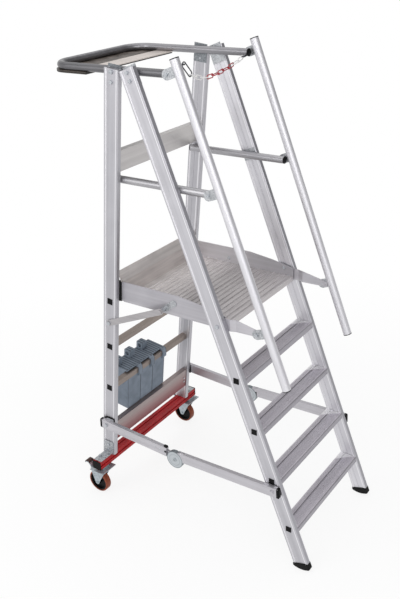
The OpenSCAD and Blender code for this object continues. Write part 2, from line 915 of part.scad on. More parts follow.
// Galvanised angles that carry the rear stiles on the beam, and the plates behind the brace ends
module corner_brackets() {
    x0 = half_width;
    top = foot_leg_top;
    pad_x = half_width + pad_t;
    rim = 8;
    color("lightgray") placed() both_sides() {
        difference() {
            union() {
                translate([x0, beam_y - foot_leg_depth / 2, beam_top])
                    cube([foot_leg_out, foot_leg_depth, bracket_t]);
                side_plate(x0, x0 + bracket_t) polygon([
                    [rear_y(beam_top) - foot_leg_half, beam_top],
                    [rear_y(beam_top) + foot_leg_half, beam_top],
                    [rear_y(top) + foot_leg_half, top], [rear_y(top) - foot_leg_half, top]
                ]);
            }
            for (z = leg_bolt_z) across(x0 - lap, x0 + bracket_t + lap, bolt_d, rear_y(z), z);
            for (y = bracket_bolt_y) translate([leg_bolt_x, y, beam_top - lap])
                cylinder(d = bolt_d, h = beam_side);
        }
        difference() {
            side_plate(pad_x, pad_x + pad_plate_t) pad_outline(rim);
            across(0, far_cut, pin_d, rear_pin[0], rear_pin[1]);
        }
    }
}

// Plates on the inner faces of the rear stiles round the hinge bolts
module hinge_plates() {
    thin = plate_t - gap - running;
    color("lightgray") placed() both_sides() difference() {
        lean_rear() translate([inner_x - thin, -plate_half, along_rear(rail_z) - plate_drop])
            cube([thin, 2 * plate_half, plate_drop + plate_rise]);
        across(0, half_width, pin_d + running, rear_y(rail_z), rail_z);
        across(0, half_width, bolt_d, rear_y(rail_z - hinge_bolt_drop), rail_z - hinge_bolt_drop);
    }
}

// Fixed bolts of the rear frame and the pins of the struts and rear brace halves
module rear_bolts() {
    thin = plate_t - gap - running;
    inside = half_width - stile_thickness / 2;
    strut_face = strut_x + strut_t + gap;
    brace_face = brace_x + brace_width + gap;
    leg_face = half_width + bracket_t;
    lower = rail_z - hinge_bolt_drop;
    rivet_share = [0.35, 0.55];
    rivet_in = 22;
    rivet_d = 10;
    rivet_h = 3;
    color("gray") placed() both_sides() {
        across(inner_x - thin, web_x, bolt_d, rear_y(lower), lower);
        hex_head(web_x, head_h, head_d, rear_y(lower), lower);
        across(inside, strut_face, pin_d, rear_y(strut_low_z), strut_low_z);
        across(strut_face, strut_face + head_h, pin_head_d, rear_y(strut_low_z), strut_low_z);
        across(inside, brace_face, pin_d, rear_y(brace_rear_z), brace_rear_z);
        across(brace_face, brace_face + head_h, pin_head_d, rear_y(brace_rear_z), brace_rear_z);
        for (z = leg_bolt_z) {
            across(inside, leg_face, bolt_d, rear_y(z), z);
            hex_head(leg_face, head_h, head_d, rear_y(z), z);
        }
        for (y = bracket_bolt_y) translate([leg_bolt_x, y, 0]) {
            translate([0, 0, beam_top - beam_height / 4])
                cylinder(d = bolt_d, h = beam_height / 4 + bracket_t);
            translate([0, 0, beam_top + bracket_t]) cylinder(d = head_d, h = head_h, $fn = 6);
        }
        for (share = rivet_share) lean_rear()
            translate([inner_x - rivet_in, -channel_front, channel_z + share * channel_height])
                rotate([90, 0, 0]) cylinder(d = rivet_d, h = rivet_h);
    }
}

// Castors

// Top plate with the kingpin the fork turns on
module caster_mounts() {
    head = 20;
    head_t = 5;
    low = crown_top - crown_t - gap;
    spacer = beam_side - 4;
    color("lightgray") placed() both_sides() translate([caster_x, beam_y, 0]) {
        translate([-spacer / 2, -spacer / 2, caster_top - lap]) cube([spacer, spacer, mount_spacer + lap]);
        translate([-mount_x / 2, -mount_y / 2, caster_top - mount_t]) cube([mount_x, mount_y, mount_t]);
        translate([0, 0, low]) cylinder(d = kingpin_d, h = caster_top - mount_t - low);
        translate([0, 0, low - head_t]) cylinder(d = head, h = head_t);
    }
}

module fork() {
    crown_r = 29;
    boss = 13;
    outer = fork_inner + fork_t;
    leg_front = beam_y - 24;
    leg_rear = pedal_y + 12;
    leg_wing = leg_rear + 18;
    top = crown_top;
    low = top - crown_t;
    translate([caster_x, 0, 0]) {
        difference() {
            union() {
                translate([0, beam_y, low]) cylinder(r = crown_r, h = crown_t);
                translate([-outer, leg_front, low]) cube([2 * outer, leg_rear - leg_front, crown_t]);
            }
            translate([0, beam_y, low - 1]) cylinder(d = kingpin_d + running, h = crown_t + 2);
        }
        for (s = [0, 1]) mirror([s, 0, 0]) side_plate(fork_inner, outer) union() {
            polygon([
                [leg_front, low], [leg_wing, low], [leg_wing, low - boss],
                [axle_y + boss, wheel_r], [axle_y - boss, wheel_r], [leg_front, low - boss]
            ]);
            translate([axle_y, wheel_r]) circle(boss);
        }
        across(-outer, outer, axle_d, axle_y, wheel_r);
        across(-fork_inner, fork_inner, pedal_rod, pedal_y, pedal_z);
        hex_head(outer, fork_t, boss, axle_y, wheel_r);
        hex_head(-outer - fork_t, fork_t, boss, axle_y, wheel_r);
    }
}

module fork_left() {
    color("lightgray") placed() left_side() fork();
}

module fork_right() {
    color("lightgray") placed() fork();
}

// Wheel core: hub, thin web and rim turned about the axle
module wheel_core() {
    hub = 14;
    hub_half = fork_inner - 1;
    web_half = 5;
    rim_half = tyre_width / 2 - 3;
    rim = 8;
    bore = (axle_d + running) / 2;
    translate([caster_x, axle_y, wheel_r]) rotate([0, 90, 0]) rotate_extrude() polygon([
        [bore, -hub_half], [hub, -hub_half], [hub, -web_half], [core_r - rim, -web_half],
        [core_r - rim, -rim_half], [core_r, -rim_half], [core_r, rim_half], [core_r - rim, rim_half],
        [core_r - rim, web_half], [hub, web_half], [hub, hub_half], [bore, hub_half]
    ]);
}

module core_left() {
    color("dimgray") placed() left_side() wheel_core();
}

module core_right() {
    color("dimgray") placed() wheel_core();
}

// Cast tyre with rounded shoulders on the rim
module tyre() {
    shoulder = 6;
    half = tyre_width / 2;
    translate([caster_x, axle_y, wheel_r]) rotate([0, 90, 0]) rotate_extrude() difference() {
        union() {
            translate([core_r, -half]) square([wheel_r - core_r - shoulder, tyre_width]);
            translate([core_r, shoulder - half]) square([wheel_r - core_r, tyre_width - 2 * shoulder]);
            for (s = [-1, 1]) translate([wheel_r - shoulder, s * (half - shoulder)]) circle(shoulder);
        }
        translate([0, -half]) square([core_r, tyre_width]);
    }
}

module tyre_left() {
    color("chocolate") placed() left_side() tyre();
}

module tyre_right() {
    color("chocolate") placed() tyre();
}

// Brake pedal turning on the rod between the fork legs
module pedal() {
    tread_t = 6;
    lip = 4;
    high = pedal_z + pedal_rise;
    width = fork_inner - 1;
    translate([caster_x, 0, 0]) difference() {
        union() {
            across(-width, width, pedal_barrel, pedal_y, pedal_z);
            side_plate(-pedal_half, pedal_half) polygon([
                [pedal_y, pedal_z - tread_t / 2], [pedal_knee, pedal_z - tread_t / 2],
                [pedal_step, high - tread_t], [pedal_tip - lip, high - tread_t],
                [pedal_tip, high - tread_t - lip], [pedal_tip, high],
                [pedal_step - lip, high], [pedal_knee - lip, pedal_z + tread_t / 2],
                [pedal_y, pedal_z + tread_t / 2]
            ]);
        }
        across(-fork_inner, fork_inner, pedal_rod + running, pedal_y, pedal_z);
    }
}

module pedal_left() {
    color("sienna") placed() left_side() pedal();
}

module pedal_right() {
    color("sienna") placed() pedal();
}

// Folding platform

// Deck sheet with ridges across it, a front nosing and a skirt at both ends
module deck() {
    count = floor((deck_front + deck_rear) / ridge_pitch) - 1;
    base = deck_top - ridge_height;
    start = -deck_front;
    color("gainsboro") placed() side_plate(-cheek_x, cheek_x) union() {
        translate([start, base - deck_t]) square([deck_front + deck_rear, deck_t]);
        translate([start, base - deck_skirt]) square([skirt_t, deck_skirt + ridge_height]);
        translate([deck_rear - skirt_t, base - deck_skirt]) square([skirt_t, deck_skirt]);
        for (k = [0 : count]) translate([start + ridge_pitch / 2 + k * ridge_pitch, base]) polygon([
            [0, 0], [ridge_land, 0], [ridge_land - ridge_slope, ridge_height], [ridge_slope, ridge_height]
        ]);
    }
}

module cheek() {
    low = deck_top - ridge_height - deck_skirt + 2;
    high = deck_top + cheek_height;
    difference() {
        side_plate(cheek_x, cheek_x + cheek_t) polygon([
            [deck_rear + toe_t, low], [deck_rear + toe_t, high], [0, high],
            [-0.52 * deck_front, high - cheek_height / 5], [-deck_front, high - cheek_height / 2],
            [-deck_front, low]
        ]);
        across(0, half_width, pin_d + running, front_y(platform_pivot_z), platform_pivot_z);
    }
}

module cheek_left() {
    color("silver") placed() left_side() cheek();
}

module cheek_right() {
    color("silver") placed() cheek();
}

// Rear toe board: upright sheet with a top flange leaning back
module toe_board() {
    low = deck_top - ridge_height - deck_skirt;
    high = deck_top + cheek_height;
    back = deck_rear + toe_t;
    color("gainsboro") placed() side_plate(-cheek_x, cheek_x) polygon([
        [deck_rear, low], [back, low], [back, high], [back + toe_lean, high + toe_rise],
        [back + toe_lean - toe_t, high + toe_rise], [deck_rear, high]
    ]);
}

// Lug on a cheek with the stub that carries the upper end of a strut
module strut_brackets() {
    x0 = cheek_x + cheek_t;
    stub = 20;
    color("lightgray") placed() both_sides() union() {
        side_plate(x0, x0 + plate_t) link_outline(
            [bracket_y, bracket_z], [strut_top_y, strut_top_z], bracket_half);
        across(x0, strut_x - gap, stub, strut_top_y, strut_top_z);
    }
}

// Linkage

module strut() {
    low = [rear_y(strut_low_z), strut_low_z];
    high = [strut_top_y, strut_top_z];
    color("silver") placed() {
        difference() {
            side_plate(strut_x, strut_x + strut_t) link_outline(low, high, strut_height / 2);
            across(0, far_cut, pin_d + running, low[0], low[1]);
        }
        hex_head(strut_x + strut_t, head_h, pin_head_d, high[0], high[1]);
    }
}

module strut_left() {
    mirror([1, 0, 0]) strut();
}

module strut_right() {
    strut();
}

// Brace half: box tube from its pin to the hinge, low tongue and half thickness disc
module brace_half(pin, over, x0, x1) {
    joint = [joint_y, joint_z];
    long = norm(joint - pin);
    turn = atan2(joint[1] - pin[1], joint[0] - pin[0]);
    h = brace_height;
    stop = brace_stop;
    end_wall = 4;
    tongue = 0.62 * h;
    low = turn > 90 || turn < -90 ? h / 2 - tongue : -h / 2;
    difference() {
        union() {
            side_plate(brace_x, brace_x + brace_width) translate(pin) rotate(turn)
                translate([-over, -h / 2]) square([long - stop + over, h]);
            side_plate(x0, x1) union() {
                translate(pin) rotate(turn) translate([long - stop - lap, low]) square([stop + lap, tongue]);
                translate([disc_y, disc_z]) circle(disc_radius);
            }
        }
        side_plate(brace_x + brace_wall, brace_x + brace_width - brace_wall) translate(pin) rotate(turn)
            translate([-over - lap, brace_wall - h / 2])
                square([long - stop + over - end_wall + lap, h - 2 * brace_wall]);
        across(0, far_cut, pin_d + running, pin[0], pin[1]);
    }
    side_plate(brace_x, brace_x + brace_width) translate(pin) rotate(turn)
        translate([-over - cap_t, -h / 2]) square([cap_t, h]);
}

// Rear half with the pin of the disc hinge
module brace_rear() {
    face = brace_x + brace_width;
    color("silver") placed() {
        brace_half(rear_pin, rear_tail, brace_x, disc_split - disc_gap / 2);
        across(disc_split - disc_gap / 2 - lap, face + gap, disc_pin_d, disc_y, disc_z);
        across(face + gap, face + gap + pin_cap_h, pin_head_d, disc_y, disc_z);
    }
}

// Front half with the bolt that holds it to the front stile
module brace_front() {
    face = brace_x + brace_width;
    color("silver") placed() {
        difference() {
            brace_half(front_pin, front_tail, disc_split + disc_gap / 2, face);
            across(0, far_cut, disc_pin_d + running, disc_y, disc_z);
        }
        across(half_width + gap, face + head_h, stile_pin_d, front_pin[0], front_pin[1]);
        across(face, face + head_h, pin_head_d, front_pin[0], front_pin[1]);
    }
}

module brace_rear_left() {
    mirror([1, 0, 0]) brace_rear();
}

module brace_rear_right() {
    brace_rear();
}

module brace_front_left() {
    mirror([1, 0, 0]) brace_front();
}

module brace_front_right() {
    brace_front();
}

// Ballast

// Block hooked over the lowest rung and leaning with the frame: a body under and behind the rung,
// a finger at one end that reaches round the front of it, and a lifting lug with a hole
module ballast(i) {
    x0 = ballast_start + i * ballast_pitch;
    x1 = x0 + ballast_width;
    seat = rung_side / 2 + gap;
    rear = ballast_depth - ballast_face;
    rung_axis = along_rear(rung_z[2]);
    low = channel_z + channel_height + ballast_clear - rung_axis;
    wide_seat = seat + ballast_lift;
    chin = seat + finger / 2;
    color("slategray") placed() lean_rear() translate([0, 0, rung_axis]) difference() {
        union() {
            side_plate(x0, x1) difference() {
                polygon([[-ballast_face, low], [rear, low], [rear, ballast_roof], [0, ballast_roof],
                    [0, 0], [-ballast_face, -seat]]);
                translate([-far_cut / 2, -seat]) square([far_cut / 2 + seat, seat + wide_seat]);
            }
            side_plate(x1 - finger_width, x1) difference() {
                polygon([[-ballast_face, -chin - finger], [-nose, -chin], [-nose, 0],
                    [-seat - brow, wide_seat],
                    [-ballast_face, ballast_roof], [wide_seat, ballast_roof], [wide_seat, -chin - finger]]);
                translate([-seat, -seat]) square(2 * seat);
            }
            translate([x0, rear - lug_side, ballast_roof - lap]) cube([lug_side, lug_side, lug_rise + lap]);
        }
        across(x0 - lap, x0 + lug_side + lap, lug_hole, rear - lug_side / 2, ballast_roof + lug_rise / 2);
    }
}

module ballast_1() { ballast(0); }
module ballast_2() { ballast(1); }
module ballast_3() { ballast(2); }

front_stile_left();
front_stile_right();
step_1();
step_2();
step_3();
step_4();
front_feet();
step_plugs();
top_rail();
tube_plugs();
tray_board();
tray_bar();
mid_rail_left();
mid_rail_right();
handrail_left();
handrail_right();
rail_clips();
lower_arms();
front_bolts();
pivot_bolts();
chain_red();
chain_white();
chain_fittings();
rear_stile_left();
rear_stile_right();
rung_1();
rung_2();
rung_3();
rung_plugs();
knee_board();
cross_channel();
caster_beam();
beam_caps();
corner_brackets();
hinge_plates();
rear_bolts();
caster_mounts();
deck();
cheek_left();
cheek_right();
toe_board();
strut_brackets();
strut_left();
strut_right();
brace_rear_left();
brace_rear_right();
brace_front_left();
brace_front_right();
fork_left();
fork_right();
core_left();
core_right();
tyre_left();
tyre_right();
pedal_left();
pedal_right();
ballast_1();
ballast_2();
ballast_3();
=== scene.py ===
# %% [markdown]
# # Folding mobile platform steps
# The object is a set of aluminium platform steps that folds flat and rolls on two castors.
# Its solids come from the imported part, in metres, and are never moved here.
# This file gives each of them the finish of the real material, adds the small pieces that
# only the eye needs, and sets up a plain studio with the camera at the photograph's angle.

import math

import bpy
import numpy as np
from mathutils import Matrix, Vector


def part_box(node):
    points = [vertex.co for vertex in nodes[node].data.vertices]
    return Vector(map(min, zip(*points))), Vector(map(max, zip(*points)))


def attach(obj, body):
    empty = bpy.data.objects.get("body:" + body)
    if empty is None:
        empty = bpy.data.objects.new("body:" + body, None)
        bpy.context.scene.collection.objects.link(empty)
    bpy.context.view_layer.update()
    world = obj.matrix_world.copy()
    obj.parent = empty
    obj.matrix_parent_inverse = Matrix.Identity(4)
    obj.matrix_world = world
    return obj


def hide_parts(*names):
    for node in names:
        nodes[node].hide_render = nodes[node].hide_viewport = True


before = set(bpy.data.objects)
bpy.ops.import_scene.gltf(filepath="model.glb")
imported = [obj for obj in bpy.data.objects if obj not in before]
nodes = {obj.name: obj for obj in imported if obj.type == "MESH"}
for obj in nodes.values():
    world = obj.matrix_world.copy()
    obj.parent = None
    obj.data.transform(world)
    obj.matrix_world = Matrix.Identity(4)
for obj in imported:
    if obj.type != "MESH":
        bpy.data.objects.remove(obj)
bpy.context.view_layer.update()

# %% [markdown]
# ## Camera
# The lens was worked out from the parallel edges of the stiles, treads and rails. A focal length
# of 794 picture points in a frame of 400 by 599 is a 48 mm lens on the long side of a 36 mm sensor.
# The camera looks down by 25.5 degrees and is rolled a little. A roll is awkward to set by angles,
# so the three directions of the view are worked out and written into the camera's matrix.
# Places on the drawing of the steps are in millimetres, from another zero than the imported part's.
# One helper turns them into metres of the part, here for the camera and later for small pieces.

# %% Camera
MM = 1000.0
DRAWING_TO_PART = np.array((0.0, 0.027, 0.0))
PHOTO_HIGH, FOCAL_POINTS, SENSOR_MM = 599, 794.48, 36.0
EYE_MM = (-2861.8, -1973.5, 2775.6)
YAW, PITCH, ROLL = (math.radians(angle) for angle in (35.979, 25.521, -2.7335))


def spot(x, y, z):
    """A place measured on the drawing in millimetres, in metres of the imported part."""
    return np.array((x, y, z)) / MM + DRAWING_TO_PART


eye = Vector(spot(*EYE_MM))
look = Vector((math.cos(PITCH) * math.cos(YAW), math.cos(PITCH) * math.sin(YAW), -math.sin(PITCH)))
level = look.cross(Vector((0, 0, 1))).normalized()
rise = level.cross(look)
right = level * math.cos(ROLL) + rise * math.sin(ROLL)
up = rise * math.cos(ROLL) - level * math.sin(ROLL)
camera = bpy.data.objects.new("camera", bpy.data.cameras.new("camera"))
camera.data.sensor_width = SENSOR_MM
camera.data.lens = SENSOR_MM * FOCAL_POINTS / PHOTO_HIGH
camera.matrix_world = Matrix((
    (right.x, up.x, -look.x, eye.x),
    (right.y, up.y, -look.y, eye.y),
    (right.z, up.z, -look.z, eye.z),
    (0, 0, 0, 1),
))
bpy.context.scene.collection.objects.link(camera)
bpy.context.scene.camera = camera
print("lens", round(camera.data.lens, 2), "mm")

# %% [markdown]
# ## Colour and nodes
# Colours are written as they look on a screen and turned to linear light once, here.
# One helper adds any node, sets its values and links its inputs, so a finish reads as a list.

# %% Colour and node helpers
def linear(code):
    """A screen colour as six hex digits, turned to linear light by the standard screen curve."""
    parts = np.array([int(code[i:i + 2], 16) for i in (1, 3, 5)]) / 255.0
    light = np.where(parts <= 0.04045, parts / 12.92, ((parts + 0.055) / 1.055) ** 2.4)
    return (*light.tolist(), 1.0)


def add(tree, kind, inputs=None, stops=(), **settings):
    """Adds one node: settings are its own values, inputs are numbers to set or sockets to link,
    and stops are the places and screen colours of a colour ramp."""
    made = tree.nodes.new(kind)
    for key, value in settings.items():
        setattr(made, key, value)
    for key, value in (inputs or {}).items():
        if isinstance(value, bpy.types.NodeSocket):
            tree.links.new(value, made.inputs[key])
        else:
            made.inputs[key].default_value = value
    if stops:
        elements = made.color_ramp.elements
        while len(elements) < len(stops):
            elements.new(1.0)
        for element, (place, code) in zip(elements, stops):
            element.position = place
            element.color = linear(code)
    return made


def start(name, values=None):
    """A new material with a principled shader whose constant values are set on its own sockets."""
    material = bpy.data.materials.new(name)
    material.use_nodes = True
    tree = material.node_tree
    tree.nodes.clear()
    surface = add(tree, "ShaderNodeBsdfPrincipled", values)
    add(tree, "ShaderNodeOutputMaterial", {"Surface": surface.outputs[0]})
    where = add(tree, "ShaderNodeTexCoord").outputs["Object"]
    return material, tree, surface, where


print("middle grey in linear light", round(linear("#808080")[0], 3))

# %% [markdown]
# ## Extruded aluminium
# Stiles, rails and treads are pushed hot through a steel die. The die leaves fine lines and broad
# tone streaks along the bar, and hands and weather leave clouds of dull oxide. Each is a noise: two
# are squeezed across the bar and drawn out along it, one is round. A bar's direction decides the
# stretch, so one function serves every direction.

# %% Noise drawn out along a bar
LINE_MM = (6.0, 700.0)  # width and length; real die lines are near 0.2 mm, drawn coarser to show
STREAK_MM = (15.0, 900.0)
CLOUD_MM = 130.0


def stretched(tree, where, size_mm, along):
    """Noise whose cells measure the first size across the bar and the second along it."""
    across, length = (MM / size for size in size_mm)
    scale = [length if axis == along else across for axis in "XYZ"]
    placed = add(tree, "ShaderNodeMapping", {"Vector": where, "Scale": scale}).outputs[0]
    noise = add(tree, "ShaderNodeTexNoise", {"Vector": placed, "Scale": 1.0, "Detail": 3.0})
    return noise.outputs["Fac"]


print("die lines", LINE_MM, "mm, streaks", STREAK_MM, "mm")

# %% [markdown]
# ### Painted light and shade that follow the section
# Four things change the grey of a bar from place to place, and all of them are painted light and
# shade. Bands across the width paint the shade of ribs, grooves and bends and the light of the room.
# The ends of a tread, where they are pressed through the stile, get a painted highlight. The rounded
# beads along the edges get a thin painted highlight. And the faces that look to the front get painted
# shade from the dim side of the room. Each is a small function that takes the colour so far and
# gives the changed one, so a finish picks only the marks that it needs.

# %% Marks on a bar
def banded(tree, colour, share, tints):
    """Colour times a ramp of tints over the share of the bar's width."""
    tint = add(tree, "ShaderNodeValToRGB", {"Fac": share}, stops=tints).outputs["Color"]
    return add(tree, "ShaderNodeMix", {"Factor": 1.0, "A": colour, "B": tint},
               data_type="RGBA", blend_type="MULTIPLY").outputs[2]


def painted_end_highlight(tree, colour, where, share, stop, reach, bright):
    """Painted highlight on bright corners: nearness to the bar's stop plus the share of its width, where
    the sum is over one. Reach is the length over which nearness grows from nothing to one."""
    sideways = add(tree, "ShaderNodeSeparateXYZ", {"Vector": where}).outputs["X"]
    aside = add(tree, "ShaderNodeMath", {0: sideways}, operation="ABSOLUTE").outputs[0]
    near = add(tree, "ShaderNodeMapRange", {
        "Value": aside, "From Min": stop - reach, "From Max": stop}).outputs[0]
    both = add(tree, "ShaderNodeMath", {0: near, 1: share}, operation="ADD").outputs[0]
    fade = add(tree, "ShaderNodeMapRange", {
        "Value": both, "From Min": 1.0, "From Max": 1.2, "To Max": 0.75}).outputs[0]
    return add(tree, "ShaderNodeMix", {"Factor": fade, "A": colour, "B": linear(bright)},
               data_type="RGBA").outputs[2]


def painted_bead_highlight(tree, colour, across, middle, bead, bright):
    """Painted highlight on the beads: bright where the distance from the bar's middle is that of the
    bead, within the line's width."""
    off = add(tree, "ShaderNodeMath", {0: across, 1: middle}, operation="SUBTRACT").outputs[0]
    far = add(tree, "ShaderNodeMath", {0: off}, operation="ABSOLUTE").outputs[0]
    miss = add(tree, "ShaderNodeMath", {0: far, 1: bead}, operation="SUBTRACT").outputs[0]
    miss = add(tree, "ShaderNodeMath", {0: miss}, operation="ABSOLUTE").outputs[0]
    line = add(tree, "ShaderNodeMapRange", {
        "Value": miss, "From Min": 0.004, "From Max": 0.0015, "To Max": 0.9}).outputs[0]
    return add(tree, "ShaderNodeMix", {"Factor": line, "A": colour, "B": linear(bright)},
               data_type="RGBA").outputs[2]


def faced(tree, colour, tint):
    """Painted shade: colour times a tint on the faces whose normal points to the front, along minus Y."""
    normal = add(tree, "ShaderNodeTexCoord").outputs["Normal"]
    facing = add(tree, "ShaderNodeSeparateXYZ", {"Vector": normal}).outputs["Y"]
    shown = add(tree, "ShaderNodeMapRange", {
        "Value": facing, "From Min": -0.5, "From Max": -0.85}).outputs[0]
    return add(tree, "ShaderNodeMix", {"Factor": shown, "A": colour, "B": linear(tint)},
               data_type="RGBA", blend_type="MULTIPLY").outputs[2]


print("marks", [mark.__name__ for mark in (banded, painted_end_highlight, painted_bead_highlight, faced)])

# %% [markdown]
# ### One finish for every bar
# The grey is darker than fresh metal, because old mill finish carries a thin oxide skin. The skin
# also dulls it: the shader is a little less than fully metallic and its gloss follows the same
# noises as its grey. The die lines are real grooves, so they are the bump as well.

# %% Mill finish
def extruded(name, pale, dark, along="Z", turn=(0, 0, 0), rough=0.44, metal=0.85, streak=STREAK_MM,
             lines_deep=0.06, bands=None, ends=None, edge=None, front=None):
    """Mill finish bar: streaks and oxide set the grey, die lines and oxide the gloss, lines the bump.
    Turn brings the bar's width to Y. Bands are a start, an end and the tints of painted light and
    shade between them. Ends go with bands. They, edge and front hold the values of the painted end
    highlight, the painted bead highlight and the painted front shade."""
    material, tree, surface, where = start(name, {"Metallic": metal})
    turned = add(tree, "ShaderNodeMapping", {"Vector": where, "Rotation": turn}).outputs[0]
    across = add(tree, "ShaderNodeSeparateXYZ", {"Vector": turned}).outputs["Y"]
    lines = stretched(tree, turned, LINE_MM, along)
    tone = stretched(tree, turned, streak, along)
    cloud = add(tree, "ShaderNodeTexNoise", {
        "Vector": where, "Scale": MM / CLOUD_MM, "Detail": 5.0}).outputs["Fac"]
    shade = add(tree, "ShaderNodeMix", {"Factor": 0.4, "A": tone, "B": cloud}).outputs[0]
    greys = ((0.32, dark), (0.68, pale))
    colour = add(tree, "ShaderNodeValToRGB", {"Fac": shade}, stops=greys).outputs["Color"]
    if bands:
        first, last, tints = bands
        share = add(tree, "ShaderNodeMapRange", {
            "Value": across, "From Min": first, "From Max": last}).outputs[0]
        colour = banded(tree, colour, share, tints)
    if ends:
        colour = painted_end_highlight(tree, colour, where, share, *ends)
    if edge:
        colour = painted_bead_highlight(tree, colour, across, *edge)
    if front:
        colour = faced(tree, colour, front)
    tree.links.new(colour, surface.inputs["Base Color"])
    dull = add(tree, "ShaderNodeMix", {"Factor": 0.5, "A": lines, "B": cloud}).outputs[0]
    gloss = add(tree, "ShaderNodeMapRange", {
        "Value": dull, "From Min": 0.3, "From Max": 0.7, "To Min": rough - 0.06, "To Max": rough + 0.08})
    tree.links.new(gloss.outputs[0], surface.inputs["Roughness"])
    bump = add(tree, "ShaderNodeBump", {"Height": lines, "Strength": lines_deep, "Distance": 0.0002})
    tree.links.new(bump.outputs[0], surface.inputs["Normal"])
    return material


print("oxide clouds", CLOUD_MM, "mm")

# %% [markdown]
# ### Stiles
# The stiles lean, so their pattern is turned by the lean before it is stretched. After that turn a
# stile's middle has one fixed place, and the painted highlight on its beads is found by the distance
# from it. The left and right front stiles turn different sides of the section to a room that isn't
# equally bright all round, so each is given a grey of its own as painted light, the right one lighter,
# and its own painted shade on the faces to the front.

# %% Stiles
FRONT_LEAN, REAR_LEAN = math.radians(20.5), math.radians(7.2)
FRONT_AT_FLOOR, REAR_AT_FLOOR = -661, 538
FRONT_MIDDLE = spot(0, FRONT_AT_FLOOR, 0)[1] * math.cos(FRONT_LEAN)
REAR_MIDDLE = spot(0, REAR_AT_FLOOR, 0)[1] * math.cos(REAR_LEAN)
BEAD = 0.0275
FRONT_TURN, REAR_TURN = (FRONT_LEAN, 0, 0), (-REAR_LEAN, 0, 0)
front_left_bar = extruded("extruded_aluminium_front_stile_left", "#cbcacf", "#b9b8bd", turn=FRONT_TURN,
                          edge=(FRONT_MIDDLE, BEAD, "#f2f1f4"), front="#e8e8ea")
front_right_bar = extruded("extruded_aluminium_front_stile_right", "#e0dfe4", "#cecdd2", turn=FRONT_TURN,
                           edge=(FRONT_MIDDLE, BEAD, "#f2f1f4"), front="#c4c4c6")
rear_bar = extruded("extruded_aluminium_rear_stile", "#c0bfc4", "#afaeb3", turn=REAR_TURN,
                    edge=(REAR_MIDDLE, BEAD, "#efeef1"))
print("beads", BEAD * MM, "mm from the middle of a stile")

# %% [markdown]
# ### Treads, deck and toe board
# A tread is a hollow bar with ribs and a groove behind its middle, whose shade is painted as a dark
# band. Its faces to the front get painted shade and its ends a painted highlight. All four lie on the
# lean of the stiles, so one set of bands across the lean fits them all. The deck is made of such bars
# too. It is painted paler towards the back, as a painted reflection of the bright room, and many feet
# have rubbed its streaks short. The toe board behind it is folded from sheet.

# %% Treads, deck and toe board
TREAD_FRONT, TREAD_REAR, END_HIGHLIGHT_REACH = -0.6373, -0.5548, 0.075
TREAD_TINTS = ((0.0, "#f1f0f2"), (0.62, "#eeedf0"), (0.675, "#b4b3b7"),
               (0.705, "#b4b3b7"), (0.76, "#f8f7f9"), (1.0, "#efeef0"))
tread_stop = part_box("step_1")[1][0]
tread_bar = extruded("extruded_aluminium_tread", "#e9e6eb", "#d1ced3", along="X", turn=FRONT_TURN,
                     streak=(9.0, 600.0), bands=(TREAD_FRONT, TREAD_REAR, TREAD_TINTS),
                     ends=(tread_stop, END_HIGHLIGHT_REACH, "#ffffff"), front="#c8c8ca")
RUBBED_MM = (16.0, 260.0)
DECK_TINTS = ((0.0, "#d3d2d4"), (0.5, "#c2c1c2"), (0.85, "#f6f5f5"), (1.0, "#ffffff"))
deck_low, deck_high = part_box("deck")
deck_bar = extruded("extruded_aluminium_deck", "#fbf7f6", "#d6d1d0", along="X", streak=RUBBED_MM, rough=0.42,
                    metal=0.62, lines_deep=0.03, bands=(deck_low[1], deck_high[1], DECK_TINTS))
toe_bar = extruded("folded_aluminium_toe_board", "#e6e0dd", "#c2bcba", along="X", streak=RUBBED_MM,
                   rough=0.42, metal=0.62, lines_deep=0.03)
print("tread stops at", round(tread_stop * MM, 1), "mm")

# %% [markdown]
# ### Rungs, knee board and channel
# The rungs are square tubes that lie behind the ballast and the platform, so the lower ones see less
# of the room, and they are painted darker as painted shade. The channel stands right behind the red
# beam, and its lower half is painted red, as a painted reflection of the beam. The knee board and
# the bar on the edge of the tray are plain rolled and drawn stock.

# %% Rungs, knee board and channel
UPRIGHT = (-math.pi / 2, 0, 0)  # turns height into the width of the bar
RUNG_TINTS = ((0.0, "#c2bbb7"), (0.55, "#cbc5c1"), (1.0, "#ffffff"))
CHANNEL_TINTS = ((0.0, "#c0686e"), (0.22, "#d99a9d"), (0.5, "#ecc9c9"), (0.8, "#f8ecea"))
rung_low, rung_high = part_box("rung_3")[0][2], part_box("rung_1")[1][2]
rung_bar = extruded("drawn_aluminium_rung", "#c4bcb7", "#b1a9a4", along="X", turn=UPRIGHT, rough=0.4,
                    bands=(rung_low, rung_high, RUNG_TINTS))
channel_low, channel_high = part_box("cross_channel")
channel_bar = extruded("extruded_aluminium_channel", "#aca7a7", "#9a9595", along="X", turn=UPRIGHT,
                       rough=0.38, bands=(channel_low[2], channel_high[2], CHANNEL_TINTS))
knee_bar = extruded("rolled_aluminium_board", "#d2cfce", "#bebbba", along="X", rough=0.4)
beige_bar = extruded("extruded_aluminium_tray_edge", "#e2d9d3", "#cfc6c0", along="X", rough=0.4)
print("rungs from", round(rung_low, 3), "to", round(rung_high, 3), "m")

# %% [markdown]
# ### Rails and handrails
# Drawn tube is smoother than extruded bar, so its lines are shallow. The rails are bent from tube
# given a darker grey, and the near side of the top rail is painted darkest, as painted shade. The handrails
# are brighter.

